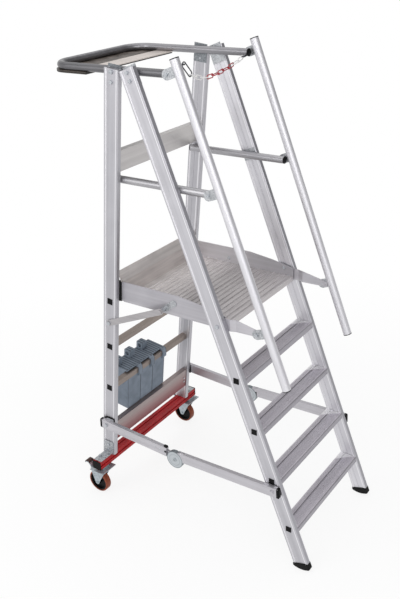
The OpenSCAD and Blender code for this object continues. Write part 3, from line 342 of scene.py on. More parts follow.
# %% Rails and handrails
SIDEWAYS = (0, 0, math.pi / 2)  # turns the place from left to right into the width of the bar
RAIL_TINTS = ((0.0, "#c6c6c6"), (0.35, "#efefef"), (1.0, "#ffffff"))
rail_low, rail_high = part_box("top_rail")
rail_tube = extruded("drawn_aluminium_top_rail", "#969599", "#807f83", along="X", turn=SIDEWAYS, rough=0.32,
                     lines_deep=0.02, bands=(rail_low[0], rail_high[0], RAIL_TINTS))
level_tube = extruded("drawn_aluminium_mid_rail", "#b3b2b5", "#9f9ea2", along="Y", rough=0.34,
                      lines_deep=0.02)
hand_tube = extruded("drawn_aluminium_handrail", "#dfdee2", "#d1d0d5", turn=FRONT_TURN, rough=0.46,
                     lines_deep=0.012)
print("top rail", round(rail_high[0] - rail_low[0], 3), "m wide")

# %% [markdown]
# ### Arms, struts and cheeks
# These are cut from flat stock, so their streaks run from front to back. The left cheek shows its
# outside, which lies in shade and is given a darker grey as painted shade, and the right one its inside,
# which is given a lighter grey as painted light, paler to the back.

# %% Arms, struts and cheeks
CHEEK_TINTS = ((0.0, "#c6c6c8"), (0.5, "#e4e4e5"), (1.0, "#ffffff"))
flat_bar = extruded("rolled_aluminium_sheet", "#cac8cd", "#b9b7bc", along="Y", rough=0.45)
strut_bar = extruded("rolled_aluminium_strut", "#b6b3b5", "#a6a3a5", along="Y", rough=0.45)
cheek_bar = extruded("folded_aluminium_cheek_left", "#b9b7bc", "#a5a3a9", along="Y", rough=0.4, metal=0.65)
cheek_far_bar = extruded("folded_aluminium_cheek_right", "#e0dee2", "#cecccf", along="Y", rough=0.4,
                         metal=0.65, bands=(deck_low[1], deck_high[1], CHEEK_TINTS))
print("cheeks shaded over", round(deck_high[1] - deck_low[1], 3), "m")

# %% [markdown]
# ### Braces and their hinge discs
# A brace is a box tube in two halves, which meet in turned steel discs with a plated, bluish face, a
# pressed ring and a rivet. Tube and disc are one solid here, so the finish of the tube changes to
# zinc inside the disc's radius, measured from the hinge. Both braces share that axis, and one finish
# serves all four halves.

# %% Braces and their hinge discs
HINGE_Y, HINGE_Z, DISC_MM = 43.89, 372.0, 47.0
DISC_STOPS = ((0.0, "#9ba0a4"), (0.13, "#9ba0a4"), (0.18, "#bec3c7"), (0.6, "#bec3c7"),
              (0.66, "#a5abb0"), (0.72, "#bec3c7"), (0.9, "#b9bfc3"), (0.97, "#868c91"))
brace_bar = extruded("rolled_aluminium_brace_with_plated_disc", "#cac8cd", "#b9b7bc", along="Y", rough=0.45)
tree = brace_bar.node_tree
surface = next(node for node in tree.nodes if node.type == "BSDF_PRINCIPLED")
bare = surface.inputs["Base Color"].links[0].from_socket
where = add(tree, "ShaderNodeTexCoord").outputs["Object"]
beside = add(tree, "ShaderNodeVectorMath", {0: where, 1: (0, 1, 1)}, operation="MULTIPLY").outputs[0]
hinge = tuple(spot(0, HINGE_Y, HINGE_Z))
reach = add(tree, "ShaderNodeVectorMath", {0: beside, 1: hinge}, operation="DISTANCE").outputs["Value"]
share = add(tree, "ShaderNodeMapRange", {"Value": reach, "From Max": DISC_MM / MM}).outputs[0]
rings = add(tree, "ShaderNodeValToRGB", {"Fac": share}, stops=DISC_STOPS).outputs["Color"]
inside = add(tree, "ShaderNodeMath", {0: reach, 1: DISC_MM / MM + 0.0004}, operation="LESS_THAN").outputs[0]
plated = add(tree, "ShaderNodeMix", {"Factor": inside, "A": bare, "B": rings}, data_type="RGBA").outputs[2]
tree.links.new(plated, surface.inputs["Base Color"])
print("hinge discs", 2 * DISC_MM, "mm across")

# %% [markdown]
# ## Zinc on steel
# Brackets and castor parts are steel dipped or plated with zinc. Zinc freezes in crystals a few
# millimetres wide that shine a little differently, so cells of that size vary colour and roughness,
# and a round noise between them leaves the dull patches of old zinc. Dipped plates show the largest
# crystals, plated castor parts are smoother and bolts the brightest. The plates at the top hinges are
# given the darkest grey, and the chain's hook and eyes are blackened instead.

# %% Galvanised steel and bolts
PATCH_MM = 35.0


def galvanised(name, cell_mm, pale, dark, rough, metal=1.0):
    """Zinc crystals: random cells of a real width, each with its own grey and its own gloss."""
    material, tree, surface, where = start(name, {"Metallic": metal})
    cells = add(tree, "ShaderNodeTexVoronoi", {"Vector": where, "Scale": MM / cell_mm})
    random = add(tree, "ShaderNodeSeparateColor", {"Color": cells.outputs["Color"]}).outputs
    patch = add(tree, "ShaderNodeTexNoise", {
        "Vector": where, "Scale": MM / PATCH_MM, "Detail": 4.0}).outputs["Fac"]
    shade = add(tree, "ShaderNodeMix", {"Factor": 0.45, "A": random[0], "B": patch}).outputs[0]
    greys = add(tree, "ShaderNodeValToRGB", {"Fac": shade}, stops=((0.2, dark), (0.8, pale)))
    tree.links.new(greys.outputs["Color"], surface.inputs["Base Color"])
    gloss = add(tree, "ShaderNodeMapRange", {
        "Value": random[1], "To Min": rough - 0.06, "To Max": rough + 0.08})
    tree.links.new(gloss.outputs[0], surface.inputs["Roughness"])
    bump = add(tree, "ShaderNodeBump", {"Height": patch, "Strength": 0.15, "Distance": 0.0003})
    tree.links.new(bump.outputs[0], surface.inputs["Normal"])
    return material


zinc_plate = galvanised("galvanised_steel_plate", 6.0, "#c8cacd", "#9b9ea2", 0.4, metal=0.85)
zinc_hinge = galvanised("darkest_galvanised_steel_plate", 6.0, "#93979b", "#72767b", 0.45, metal=0.85)
zinc_fork = galvanised("zinc_plated_castor_steel", 5.0, "#bcc4c9", "#9aa4aa", 0.5, metal=0.75)
zinc_bolt = galvanised("zinc_plated_bolt", 2.0, "#d2d5d9", "#a4a8ae", 0.28)
dark_steel = galvanised("blackened_steel_hook", 2.0, "#55565a", "#37383c", 0.34)
print("dull patches", PATCH_MM, "mm")

# %% [markdown]
# ## Ballast blocks
# Three moulded blocks hang side by side on the lowest rung. Their tops are grooved and the seams
# between them are dark. The grooves are a wave on the faces that look up, the seams a count of block
# widths, and the darker of the two is kept. Both are shadows in the finish, because the solids of the
# blocks already have their outline and the grooves are only a few millimetres deep.

# %% Grooves and seams of the ballast
def grooved(tree, colour, where, pitch_mm, shadow, first, block):
    """Shadow in grooves of a real pitch on upward faces, and in the seams at each whole number of
    block widths from the first, on faces that don't look sideways."""
    normal = add(tree, "ShaderNodeTexCoord").outputs["Normal"]
    facing = add(tree, "ShaderNodeSeparateXYZ", {"Vector": normal}).outputs
    upward = add(tree, "ShaderNodeMapRange", {
        "Value": facing["Z"], "From Min": 0.8, "From Max": 0.95}).outputs[0]
    waves = MM * math.pi / (10.0 * pitch_mm)  # the wave texture repeats every tenth of pi
    wave = add(tree, "ShaderNodeTexWave", {"Vector": where, "Scale": waves}).outputs["Fac"]
    deep = add(tree, "ShaderNodeMapRange", {
        "Value": wave, "From Min": 0.1, "From Max": 0.5, "To Min": 0.95, "To Max": 0.25}).outputs[0]
    deep = add(tree, "ShaderNodeMath", {0: deep, 1: upward}, operation="MULTIPLY").outputs[0]
    sideways = add(tree, "ShaderNodeSeparateXYZ", {"Vector": where}).outputs["X"]
    count = add(tree, "ShaderNodeMapRange", {
        "Value": sideways, "From Min": first, "From Max": first + block}, clamp=False).outputs[0]
    inside = add(tree, "ShaderNodeMath", {0: count, 1: 1.0}, operation="FLOORED_MODULO").outputs[0]
    off = add(tree, "ShaderNodeMath", {0: inside, 1: 0.5}, operation="SUBTRACT").outputs[0]
    off = add(tree, "ShaderNodeMath", {0: off}, operation="ABSOLUTE").outputs[0]
    seam = add(tree, "ShaderNodeMapRange", {
        "Value": off, "From Min": 0.465, "From Max": 0.485, "To Max": 0.85}).outputs[0]
    end_on = add(tree, "ShaderNodeMath", {0: facing["X"]}, operation="ABSOLUTE").outputs[0]
    front_on = add(tree, "ShaderNodeMapRange", {
        "Value": end_on, "From Min": 0.7, "From Max": 0.3}).outputs[0]
    seam = add(tree, "ShaderNodeMath", {0: seam, 1: front_on}, operation="MULTIPLY").outputs[0]
    deep = add(tree, "ShaderNodeMath", {0: deep, 1: seam}, operation="MAXIMUM").outputs[0]
    return add(tree, "ShaderNodeMix", {"Factor": deep, "A": colour, "B": linear(shadow)},
               data_type="RGBA").outputs[2]


block_low, block_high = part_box("ballast_1")
next_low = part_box("ballast_2")[0]
block_pitch = next_low[0] - block_low[0]
first_seam = block_low[0] - (next_low[0] - block_high[0]) / 2
print("ballast blocks every", round(block_pitch * MM, 1), "mm")

# %% [markdown]
# ## Moulded plastic and rubber
# Moulded parts carry the grain of the tool they were made in. A fine noise bumps the surface
# and a slow one changes the colour, as dust and handling do. Black caps are satin, rubber is matt and
# the links of the chain are glossy. The powder coat on the beam, with its fine peel, and the waxy
# cast tyres have the same two scales, so they share the function.

# %% Moulded plastic, rubber, coating
DUST_MM = 60.0


def moulded(name, pale, dark, rough, grain_mm=0.9, shine=0.5, roof=None):
    """Tool grain: noise of a real grain width as bump, and broad noise between two close colours.
    A roof holds the values of grooved."""
    material, tree, surface, where = start(name, {"Specular IOR Level": shine})
    broad = add(tree, "ShaderNodeTexNoise", {
        "Vector": where, "Scale": MM / DUST_MM, "Detail": 5.0}).outputs["Fac"]
    colours = ((0.35, dark), (0.65, pale))
    colour = add(tree, "ShaderNodeValToRGB", {"Fac": broad}, stops=colours).outputs["Color"]
    if roof:
        colour = grooved(tree, colour, where, *roof)
    tree.links.new(colour, surface.inputs["Base Color"])
    grain = add(tree, "ShaderNodeTexNoise", {
        "Vector": where, "Scale": MM / grain_mm, "Detail": 2.0}).outputs["Fac"]
    gloss = add(tree, "ShaderNodeMapRange", {
        "Value": grain, "From Min": 0.3, "From Max": 0.7, "To Min": rough - 0.05, "To Max": rough + 0.05})
    tree.links.new(gloss.outputs[0], surface.inputs["Roughness"])
    bump = add(tree, "ShaderNodeBump", {"Height": grain, "Strength": 0.3, "Distance": 0.0002})
    tree.links.new(bump.outputs[0], surface.inputs["Normal"])
    return material


black_plastic = moulded("moulded_black_polyethylene", "#111112", "#080809", 0.45, shine=0.1)
black_rubber = moulded("moulded_black_rubber", "#141415", "#0b0b0b", 0.7, grain_mm=1.4, shine=0.2)
red_coat = moulded("red_powder_coat_on_aluminium", "#ab1119", "#8f0b12", 0.38, grain_mm=1.6, shine=0.22)
amber_tyre = moulded("cast_amber_polyurethane", "#92482c", "#743621", 0.45, shine=0.3)
ballast_plastic = moulded("moulded_grey_blue_ballast", "#828c99", "#717b87", 0.55, grain_mm=1.5, shine=0.2,
                          roof=(17.0, "#3a4149", first_seam, block_pitch))
brown_pad = moulded("moulded_brown_pedal_pad", "#4a2f28", "#33201b", 0.4, shine=0.3)
chain_red = moulded("moulded_red_chain", "#a3202c", "#8c1722", 0.35)
chain_white = moulded("moulded_white_chain", "#e4e3e3", "#d5d4d4", 0.35)
print("dust clouds", DUST_MM, "mm")

# %% [markdown]
# ## Film faced plywood
# The tray under the rear loop is plywood pressed from thin veneers, with a dark brown resin film on
# both faces. The veneers are layers in the board's height, so a ramp over height colours the whole
# board at once: the faces fall in the film, the top face is painted lighter as painted light, and the
# layers only show where an edge was sawn. Blotches where the film is scuffed darken it and change its gloss.

# %% Film faced plywood
BLOTCH_MM, GRAIN_MM = 45.0, (2.2, 60.0)
VENEERS = ((0.0, "#2a2422"), (0.06, "#352b23"), (0.2, "#221b16"), (0.35, "#33291f"), (0.5, "#221b16"),
           (0.65, "#33291f"), (0.8, "#221b16"), (0.9, "#352b23"), (0.96, "#6d645e"))
tray_low, tray_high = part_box("tray_board")
tray_film, tree, surface, where = start("film_faced_birch_plywood")
height = add(tree, "ShaderNodeSeparateXYZ", {"Vector": where}).outputs["Z"]
share = add(tree, "ShaderNodeMapRange", {
    "Value": height, "From Min": tray_low[2], "From Max": tray_high[2]}).outputs[0]
layers = add(tree, "ShaderNodeValToRGB", {"Fac": share}, stops=VENEERS).outputs["Color"]
blotch = add(tree, "ShaderNodeTexNoise", {
    "Vector": where, "Scale": MM / BLOTCH_MM, "Detail": 6.0}).outputs["Fac"]
scuffed = banded(tree, layers, blotch, ((0.35, "#8f8a86"), (0.65, "#ffffff")))
tree.links.new(scuffed, surface.inputs["Base Color"])
gloss = add(tree, "ShaderNodeMapRange", {
    "Value": blotch, "From Min": 0.3, "From Max": 0.7, "To Min": 0.42, "To Max": 0.56})
tree.links.new(gloss.outputs[0], surface.inputs["Roughness"])
grain = stretched(tree, where, GRAIN_MM, "X")
bump = add(tree, "ShaderNodeBump", {"Height": grain, "Strength": 0.25, "Distance": 0.0003})
tree.links.new(bump.outputs[0], surface.inputs["Normal"])
print("board", round((tray_high[2] - tray_low[2]) * MM, 1), "mm thick")

# %% [markdown]
# ## Every solid gets its finish
# The list goes from finish to the solids that wear it. A solid that is missing from it would keep
# the plain grey it was packed with, so the script stops if one is left over.

# %% Finish for each solid
wears = {
    front_left_bar: "front_stile_left",
    front_right_bar: "front_stile_right",
    rear_bar: "rear_stile_left rear_stile_right",
    tread_bar: "step_1 step_2 step_3 step_4",
    deck_bar: "deck",
    toe_bar: "toe_board",
    rung_bar: "rung_1 rung_2 rung_3",
    knee_bar: "knee_board",
    channel_bar: "cross_channel",
    beige_bar: "tray_bar",
    rail_tube: "top_rail",
    level_tube: "mid_rail_left mid_rail_right",
    hand_tube: "handrail_left handrail_right",
    cheek_bar: "cheek_left",
    cheek_far_bar: "cheek_right",
    strut_bar: "strut_left strut_right",
    brace_bar: "brace_rear_left brace_rear_right brace_front_left brace_front_right",
    flat_bar: "lower_arms",
    zinc_plate: "rail_clips corner_brackets strut_brackets",
    zinc_hinge: "hinge_plates",
    zinc_fork: "caster_mounts fork_left fork_right pedal_left pedal_right",
    zinc_bolt: "front_bolts pivot_bolts rear_bolts",
    dark_steel: "chain_fittings",
    black_plastic: "step_plugs tube_plugs rung_plugs beam_caps core_left core_right",
    black_rubber: "front_feet",
    red_coat: "caster_beam",
    amber_tyre: "tyre_left tyre_right",
    ballast_plastic: "ballast_1 ballast_2 ballast_3",
    chain_red: "chain_red",
    chain_white: "chain_white",
    tray_film: "tray_board",
}
left_over = set(nodes)
for material, names in wears.items():
    for name in names.split():
        nodes[name].data.materials.clear()
        nodes[name].data.materials.append(material)
        left_over.discard(name)
assert not left_over, left_over
print("finishes", len(wears), "on solids", len(nodes))

# %% [markdown]
# ## Small pieces
# Caps, rivets, nuts and buttons are all one idea: an outline that is carried along an axis while
# its size changes. A circle gives a rivet, a hexagon a nut, a rectangle with round corners a cap,
# and a polygon with eased corners a boot. First come the outlines, as arrays of points.

# %% Outlines
def circle(sides):
    """Points of a unit circle, counter-clockwise: cosine and sine of equal turns."""
    turn = np.arange(sides) * 2 * np.pi / sides
    return np.stack((np.cos(turn), np.sin(turn)), axis=1)


def rounded(width, height, corner, per_corner=6):
    """Rectangle with round corners: a small circle pushed out to the corner of its own quarter."""
    turn = (np.arange(4 * per_corner) + 0.5) * np.pi / (2 * per_corner)
    ring = np.stack((np.cos(turn), np.sin(turn)), axis=1)
    return corner * ring + np.sign(ring) * (np.array((width, height)) / 2 - corner)


def softened(corners, shares, per_corner=7):
    """Polygon with eased corners: each corner is the middle point of a quadratic curve that starts
    and ends at its share of the two edges that meet there."""
    corners, shares = np.array(corners, float), np.array(shares, float)[:, None]
    begin = (corners + shares * (np.roll(corners, 1, axis=0) - corners))[:, None]
    finish = (corners + shares * (np.roll(corners, -1, axis=0) - corners))[:, None]
    t = np.linspace(0, 1, per_corner)[None, :, None]
    curve = (1 - t) ** 2 * begin + 2 * t * (1 - t) * corners[:, None] + t ** 2 * finish
    return curve.reshape(-1, 2)


print("points of a cap", len(rounded(0.02, 0.05, 0.004)))

# %% [markdown]
# The outlines become rings in space, either stacked along a straight axis or carried along a path.
# The walls between two rings and the faces on the first and last ring are found by counting, so a
# mesh is a few whole arrays. Each piece rides on the body that it is fixed to.

# %% Stacked rings
def closed_rings(name, points, finish, body):
    """Walls between neighbouring rings of a grid of points, and a flat face on the first and last."""
    rows, count = points.shape[:2]
    start_of = np.arange(rows - 1)[:, None] * count
    here = (start_of + np.arange(count)).ravel()
    there = (start_of + np.roll(np.arange(count), -1)).ravel()
    walls = np.stack((here, there, there + count, here + count), axis=1).tolist()
    ends = [list(range(count))[::-1], list(range((rows - 1) * count, rows * count))]
    mesh = bpy.data.meshes.new(name)
    mesh.from_pydata(points.reshape(-1, 3).tolist(), [], walls + ends)
    mesh.polygons.foreach_set("use_smooth", [True] * len(walls) + [False] * len(ends))
    mesh.materials.append(finish)
    made = bpy.data.objects.new(name, mesh)
    bpy.context.scene.collection.objects.link(made)
    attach(made, body)
    return made


def stacked(name, outline, steps, place, axis, side, finish, body):
    """Rings of one outline: point = place + ring size * outline (side, cross) + ring height * axis."""
    axis, side = (np.array(v) / np.linalg.norm(v) for v in (axis, side))
    ring = outline[:, :1] * side + outline[:, 1:] * np.cross(axis, side)
    steps = np.array(steps)
    points = place + steps[:, :1, None] * ring + steps[:, 1:, None] * axis
    return closed_rings(name, points, finish, body)


def carried(name, outline, path, x, finish, body):
    """Outline carried along a path in side view: its first axis lies along X, its second along the
    path's normal, which is the path's direction turned a quarter."""
    path = np.array(path)
    run = np.gradient(path, axis=0)
    run /= np.linalg.norm(run, axis=1)[:, None]
    normal = np.stack((-run[:, 1], run[:, 0]), axis=1)
    flat = path[:, None] + outline[None, :, 1:] * normal[:, None]
    wide = np.broadcast_to(x + outline[None, :, :1], (*flat.shape[:2], 1))
    return closed_rings(name, np.concatenate((wide, flat), axis=2), finish, body)


SIDES = (("left", -1.0), ("right", 1.0))
ACROSS, ALONG = (1, 0, 0), (0, 1, 0)
print("sides", [hand for hand, sign in SIDES])

# %% [markdown]
# ### Brace caps
# Each brace is a box tube, and black moulded caps close its front and rear ends. A cap's face is
# slightly domed, so its last rings shrink a little. It sits over the plain end plate of the solid,
# and is only a trace wider, because the rear end lies close to the pad on the stile. Each end of a
# brace is given by its pin and by how far the tube goes on past it.

# %% Brace caps
BRACE_INSIDE, BRACE_WIDE, BRACE_HIGH = 340.9, 20.0, 50.0
BRACE_MIDDLE = BRACE_INSIDE + BRACE_WIDE / 2
JOINT = (HINGE_Y, 395.0)
BRACE_ENDS = (("front", (-508.455, 408.0), 26.0), ("rear", (484.966, 420.0), 30.0))
CAP_LAP, CAP_WIDER, CAP_HIGHER, CAP_CORNER = 2.0, 0.4, 3.0, 0.004
CAP_STEPS = ((1.0, 0.0), (1.0, 0.009), (0.98, 0.0108), (0.92, 0.0126), (0.8, 0.0139), (0.6, 0.0147),
             (0.3, 0.015))


def away(pin):
    """Unit direction in side view from the hinge towards a pin, as y and z."""
    run = np.array(pin) - np.array(JOINT)
    return run / np.linalg.norm(run)


cap_outline = rounded((BRACE_WIDE + CAP_WIDER) / MM, (BRACE_HIGH + CAP_HIGHER) / MM, CAP_CORNER)
caps = []
for end, pin, tail in BRACE_ENDS:
    out = away(pin)
    y, z = np.array(pin) + out * (tail - CAP_LAP)
    for hand, sign in SIDES:
        caps.append(stacked(f"brace_cap_{end}_{hand}", cap_outline, CAP_STEPS,
                            spot(sign * BRACE_MIDDLE, y, z), (0, *out), ACROSS,
                            black_plastic, f"brace_{end}_{hand}"))
print("brace caps", len(caps))

# %% [markdown]
# ### Hinge of the braces
# Two rivets hold the hinge fitting in the rear half of each brace, a dark button beside them frees
# the lock, and a small black catch sits on top where the halves meet.

# %% Rivets, buttons and catches of the braces
RIVET_STEPS = ((1.0, -0.001), (1.0, 0.0004), (0.8, 0.0012), (0.45, 0.0017), (0.15, 0.0018))
BUTTON_STEPS = ((1.0, -0.002), (1.0, 0.001), (0.85, 0.0018), (0.5, 0.002))
CATCH_STEPS = ((1.0, -0.001), (1.0, 0.006), (0.9, 0.0085), (0.6, 0.0095))
RIVETS, BUTTON, CATCH = ((161.0, 406.0), (135.0, 404.5)), (100.0, 400.0), (101.0, 423.0)
rivet_outline, button_outline = 0.0042 * circle(16), 0.006 * circle(20)
catch_outline = rounded(0.012, 0.022, 0.003)
face_x = BRACE_MIDDLE + BRACE_WIDE / 2
fittings = []
for hand, sign in SIDES:
    body = f"brace_rear_{hand}"
    for number, rivet in enumerate(RIVETS, 1):
        fittings.append(stacked(f"brace_rivet_{number}_{hand}", rivet_outline, RIVET_STEPS,
                                spot(sign * face_x, *rivet), (sign, 0, 0), ALONG,
                                zinc_bolt, body))
    fittings.append(stacked(f"brace_button_{hand}", button_outline, BUTTON_STEPS,
                            spot(sign * face_x, *BUTTON), (sign, 0, 0), ALONG,
                            black_plastic, body))
    fittings.append(stacked(f"brace_catch_{hand}", catch_outline, CATCH_STEPS,
                            spot(sign * BRACE_MIDDLE, *CATCH), (0, 0, 1), ACROSS,
                            black_plastic, body))
print("hinge fittings", len(fittings))

# %% [markdown]
# ### Noses of the front brace halves
# The front half of a brace is cut round at its upper corner, so that it closes up to the hinge disc
# and still turns past it. The solid's tube is cut straight there. A nose fills the corner: its hollow
# side is an arc about the hinge that keeps a small gap to the disc, and its top follows the tube.

# %% Noses of the front brace halves
NOSE_GAP, NOSE_INSET = 1.2, 0.1
NOSE_LOW, NOSE_HIGH = math.radians(37.0), math.radians(66.0)
NOSE_BACK, NOSE_TIP_TOP, NOSE_BACK_TOP = -7.5, 420.4, 421.1
turn = np.linspace(NOSE_LOW, NOSE_HIGH, 14)
ray = np.stack((-np.cos(turn), np.sin(turn)), axis=1)
arc = np.array((HINGE_Y, HINGE_Z)) + (DISC_MM + NOSE_GAP) * ray
nose_top = ((arc[-1, 0], NOSE_TIP_TOP), (NOSE_BACK, NOSE_BACK_TOP))
nose = np.concatenate((((NOSE_BACK, arc[0, 1]),), arc, nose_top))
nose_middle = nose.mean(axis=0)
nose_half = (BRACE_WIDE / 2 - NOSE_INSET) / MM
for hand, sign in SIDES:
    stacked(f"brace_nose_{hand}", (nose - nose_middle) / MM, ((1.0, -nose_half), (1.0, nose_half)),
            spot(sign * BRACE_MIDDLE, *nose_middle), ACROSS, ALONG,
            flat_bar, f"brace_front_{hand}")
print("nose", np.round(np.ptp(nose, axis=0), 1), "mm")

# %% [markdown]
# ### Nuts inside the cheeks
# The platform's cheeks are bolted through. The nuts inside are hexagons with a thin washer below,
# and the bolt's end stands out a little from each.

# %% Nuts of the platform
CHEEK_INSIDE, CHEEK_BOLTS = 304.0, ((126.0, 1194.0), (-198.0, 1206.0))
FASTENERS = (("washer", 0.0125 * circle(28), ((1.0, 0.0), (1.0, 0.0012), (0.96, 0.0016))),
             ("nut", 0.0092 * circle(6), ((1.0, 0.0), (1.0, 0.0052), (0.9, 0.006))),
             ("end", 0.0045 * circle(16), ((1.0, 0.0), (1.0, 0.0082), (0.8, 0.009))))
fasteners = []
for hand, sign in SIDES:
    for number, bolt in enumerate(CHEEK_BOLTS, 1):
        for part, outline, steps in FASTENERS:
            fasteners.append(stacked(f"cheek_{part}_{number}_{hand}", outline, steps,
                                     spot(sign * CHEEK_INSIDE, *bolt), (-sign, 0, 0), ALONG,
                                     zinc_bolt, "platform"))
print("cheek fasteners", len(fasteners))

# %% [markdown]
# ### Rubber boots
# The front stiles stand in rubber boots with a round sole, so the ladder can rock a little without
# losing its grip. Seen from the side a boot has five corners, sharp where it grips the stile and
# wide open at the sole. The eased outline is carried across the stile, with its rims drawn in.

# %% Rubber boots
BOOT_X, BOOT_MIDDLE = 324.5, np.array((-652.0, 22.0))
BOOT_CORNERS = ((-609.5, 20.5), (-687.2, 44.0), (-699.0, 12.0), (-655.0, -2.6), (-611.0, 6.0))
BOOT_EASE = (0.05, 0.05, 0.22, 0.5, 0.3)
BOOT_STEPS = ((0.9, -0.015), (0.965, -0.0147), (0.99, -0.0135), (1.0, -0.011),
              (1.0, 0.011), (0.99, 0.0135), (0.965, 0.0147), (0.9, 0.015))
boot_outline = softened((np.array(BOOT_CORNERS) - BOOT_MIDDLE) / MM, BOOT_EASE)
for hand, sign in SIDES:
    boot = stacked(f"front_boot_{hand}", boot_outline, BOOT_STEPS, spot(sign * BOOT_X, *BOOT_MIDDLE),
                   ACROSS, ALONG, black_rubber, "front_frame")
    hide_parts("front_feet")
print("soles at", round(float(boot_outline[:, 1].min() * MM + BOOT_MIDDLE[1]), 2), "mm")

# %% [markdown]
# ### Pads on the brake pedals
# The bent steel pedal of each castor ends in a thin brown pad that turns down over the tip. A thin
# rounded rectangle is carried along the pedal's top edge and round its end. It stays under the red
# beam, so the castor can still swing all the way round.

# %% Pads of the brake pedals
BEAM_Y, CASTOR_X = 515.031, 390.0
PAD_PATH = ((80.0, 164.6), (83.5, 169.2), (87.0, 170.9), (92.0, 171.2), (98.0, 171.2), (104.0, 171.0),
            (107.4, 169.8), (109.0, 167.0), (109.3, 163.0), (108.6, 159.5))
pad_line = (np.array(PAD_PATH) + (BEAM_Y, 0.0)) / MM + DRAWING_TO_PART[1:]
pad_outline = rounded(0.038, 0.0024, 0.0011)
for hand, sign in SIDES:
    carried(f"pedal_pad_{hand}", pad_outline, pad_line, sign * CASTOR_X / MM, brown_pad,
            f"brake_{hand}")
print("pad top at", round(pad_line[:, 1].max() * MM, 1), "mm")

# %% [markdown]
# ### Closing the platform to the rear stiles
# At both ends of the toe board a dark plate in the black rubber finish fills the slit to the rear
# stile, as painted shade of that slit. It follows the lean of the stile and keeps a small gap to its
# side. The cheek is trimmed to meet this plate, and above it the leaning top of the toe board goes on
# to the stile. All three are plates with four corners in side view, whose rims are drawn in a little so
# that their edges catch the light.

# %% Closing pieces of the platform
# painted shade: the dark plate that fills the slit beside the rear stile
SLIT_SHADE_CORNERS = ((342.5, 1151.0), (331.5, 1259.0), (344.5, 1259.0), (358.0, 1151.0))
CHEEK_END_CORNERS = ((329.0, 1152.5), (329.0, 1253.5), (332.0, 1253.5), (343.0, 1152.5))
FLAP_CORNERS = ((327.7, 1253.5), (347.7, 1304.0), (350.7, 1304.0), (330.7, 1253.5))
CLOSERS = (("toe_slit_shade", SLIT_SHADE_CORNERS, 303.4, 0.007, black_rubber, "black_rubber"),
           ("cheek_end", CHEEK_END_CORNERS, 304.2, 0.0023, cheek_bar, "mill_aluminium"),
           ("toe_flap", FLAP_CORNERS, 305.9, 0.0046, toe_bar, "mill_aluminium"))
RIM = 0.001
closers = []
for name, corners, x, half, finish, slot in CLOSERS:
    middle = np.mean(corners, axis=0)
    outline = (np.array(corners) - middle)[::-1] / MM
    steps = ((0.98, -half), (1.0, RIM - half), (1.0, half - RIM), (0.98, half))
    for hand, sign in SIDES:
        closers.append(stacked(f"{name}_{hand}", outline, steps, spot(sign * x, *middle), ACROSS, ALONG,
                               finish, "platform"))
print("closing pieces", len(closers))

# %% [markdown]
# ## Studio
# A pale floor carries the shadow, as in a studio cove. Rays that look at it see plain white some way
# off, so that it runs into the background without an edge, and a share of the lit paint close to the
# object, where its shadow lies. Light Path tells these rays from the light that falls on the object.

# %% Floor
FLOOR_HALF, SHADOW_NEAR, SHADOW_FAR, WHITE_NEAR = 30.0, 0.9, 3.0, 0.84
floor_mesh = bpy.data.meshes.new("floor")
floor_mesh.from_pydata([(-FLOOR_HALF, -FLOOR_HALF, 0), (FLOOR_HALF, -FLOOR_HALF, 0),
                        (FLOOR_HALF, FLOOR_HALF, 0), (-FLOOR_HALF, FLOOR_HALF, 0)], [], [(0, 1, 2, 3)])
floor = bpy.data.objects.new("floor", floor_mesh)
bpy.context.scene.collection.objects.link(floor)
floor_paint, tree, surface, where = start("pale_floor_paint", {
    "Base Color": linear("#f0f0f0"), "Roughness": 0.9})
path = add(tree, "ShaderNodeLightPath").outputs
looked = add(tree, "ShaderNodeMath", {
    0: path["Is Camera Ray"], 1: path["Is Glossy Ray"]}, operation="MAXIMUM").outputs[0]
looked = add(tree, "ShaderNodeMath", {
    0: looked, 1: path["Is Transmission Ray"]}, operation="MAXIMUM").outputs[0]
distance = add(tree, "ShaderNodeVectorMath", {0: where}, operation="LENGTH").outputs["Value"]
far = add(tree, "ShaderNodeMapRange", {
    "Value": distance, "From Min": SHADOW_NEAR, "From Max": SHADOW_FAR, "To Min": WHITE_NEAR}).outputs[0]
share = add(tree, "ShaderNodeMath", {0: looked, 1: far}, operation="MULTIPLY").outputs[0]
glow = add(tree, "ShaderNodeEmission", {"Color": linear("#ffffff"), "Strength": 1.0})
both = add(tree, "ShaderNodeMixShader", {0: share, 1: surface.outputs[0], 2: glow.outputs[0]})
output = next(node for node in tree.nodes if node.type == "OUTPUT_MATERIAL")
tree.links.new(both.outputs[0], output.inputs["Surface"])
floor_mesh.materials.append(floor_paint)
print("floor", 2 * FLOOR_HALF, "m wide")

# %% [markdown]
# ### World
# The world is white where the camera sees it. What metal mirrors is white at eye level too, but the
# ceiling gets darker overhead, which gives the upper faces of metal their deeper grey, and one side
# of the room is dim, as beside a black panel in a studio. Bare metal looks flat without something
# dark to mirror. The light that falls on the object is one plain level, set apart from both.

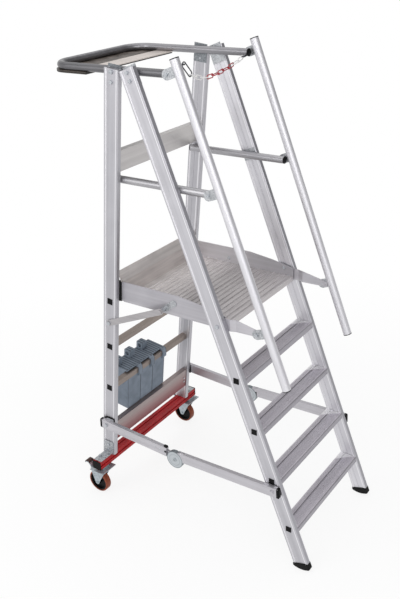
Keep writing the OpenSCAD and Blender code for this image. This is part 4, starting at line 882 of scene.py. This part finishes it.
# %% World
DAY, OVERHEAD, PANEL = 0.68, 0.64, 0.35
DARK_SIDE = (0.73, -0.68, 0.0)
world = bpy.data.worlds.new("studio")
bpy.context.scene.world = world
world.use_nodes = True
tree = world.node_tree
tree.nodes.clear()
path = add(tree, "ShaderNodeLightPath").outputs
direction = add(tree, "ShaderNodeTexCoord").outputs["Generated"]
height = add(tree, "ShaderNodeSeparateXYZ", {"Vector": direction}).outputs["Z"]
dome = add(tree, "ShaderNodeMapRange", {
    "Value": height, "From Min": 0.05, "From Max": 0.6, "To Min": 1.0, "To Max": OVERHEAD}).outputs[0]
aside = add(tree, "ShaderNodeVectorMath", {
    0: direction, 1: DARK_SIDE}, operation="DOT_PRODUCT").outputs["Value"]
dim = add(tree, "ShaderNodeMapRange", {
    "Value": aside, "From Min": 0.3, "From Max": 0.9, "To Min": 1.0, "To Max": PANEL}).outputs[0]
dome = add(tree, "ShaderNodeMath", {0: dome, 1: dim}, operation="MULTIPLY").outputs[0]
lit = add(tree, "ShaderNodeMix", {"Factor": path["Is Glossy Ray"], "A": DAY, "B": dome}).outputs[0]
clear = add(tree, "ShaderNodeMath", {
    0: path["Is Camera Ray"], 1: path["Is Transmission Ray"]}, operation="MAXIMUM").outputs[0]
strength = add(tree, "ShaderNodeMix", {"Factor": clear, "A": lit, "B": 1.0}).outputs[0]
sky = add(tree, "ShaderNodeBackground", {"Color": linear("#ffffff"), "Strength": strength})
add(tree, "ShaderNodeOutputWorld", {"Surface": sky.outputs[0]})
print("world light", DAY)

# %% [markdown]
# ### Lamps
# Three large soft lamps model the forms: a key lamp in front on the left, a fill lamp behind it that
# stands high enough not to flare in the webs of the leaning stiles, and a wide one overhead.

# %% Lamps
LAMPS = (("key", (-3.8, -3.4, 3.6), (0, 0, 1.1), 4.0, 85),
         ("fill", (-4.6, 1.8, 3.8), (0, 0, 0.9), 3.6, 80),
         ("top", (0.5, 1.0, 5.5), (0, 0, 1.1), 5.0, 55))
for name, place, aim, width, power in LAMPS:
    lamp = bpy.data.lights.new(name, "AREA")
    lamp.size = width
    lamp.energy = power
    softbox = bpy.data.objects.new(name, lamp)
    softbox.location = place
    softbox.rotation_euler = (Vector(aim) - Vector(place)).to_track_quat("-Z", "Y").to_euler()
    bpy.context.scene.collection.objects.link(softbox)
bpy.context.scene.view_settings.view_transform = "Standard"
print("lamps", len(LAMPS))
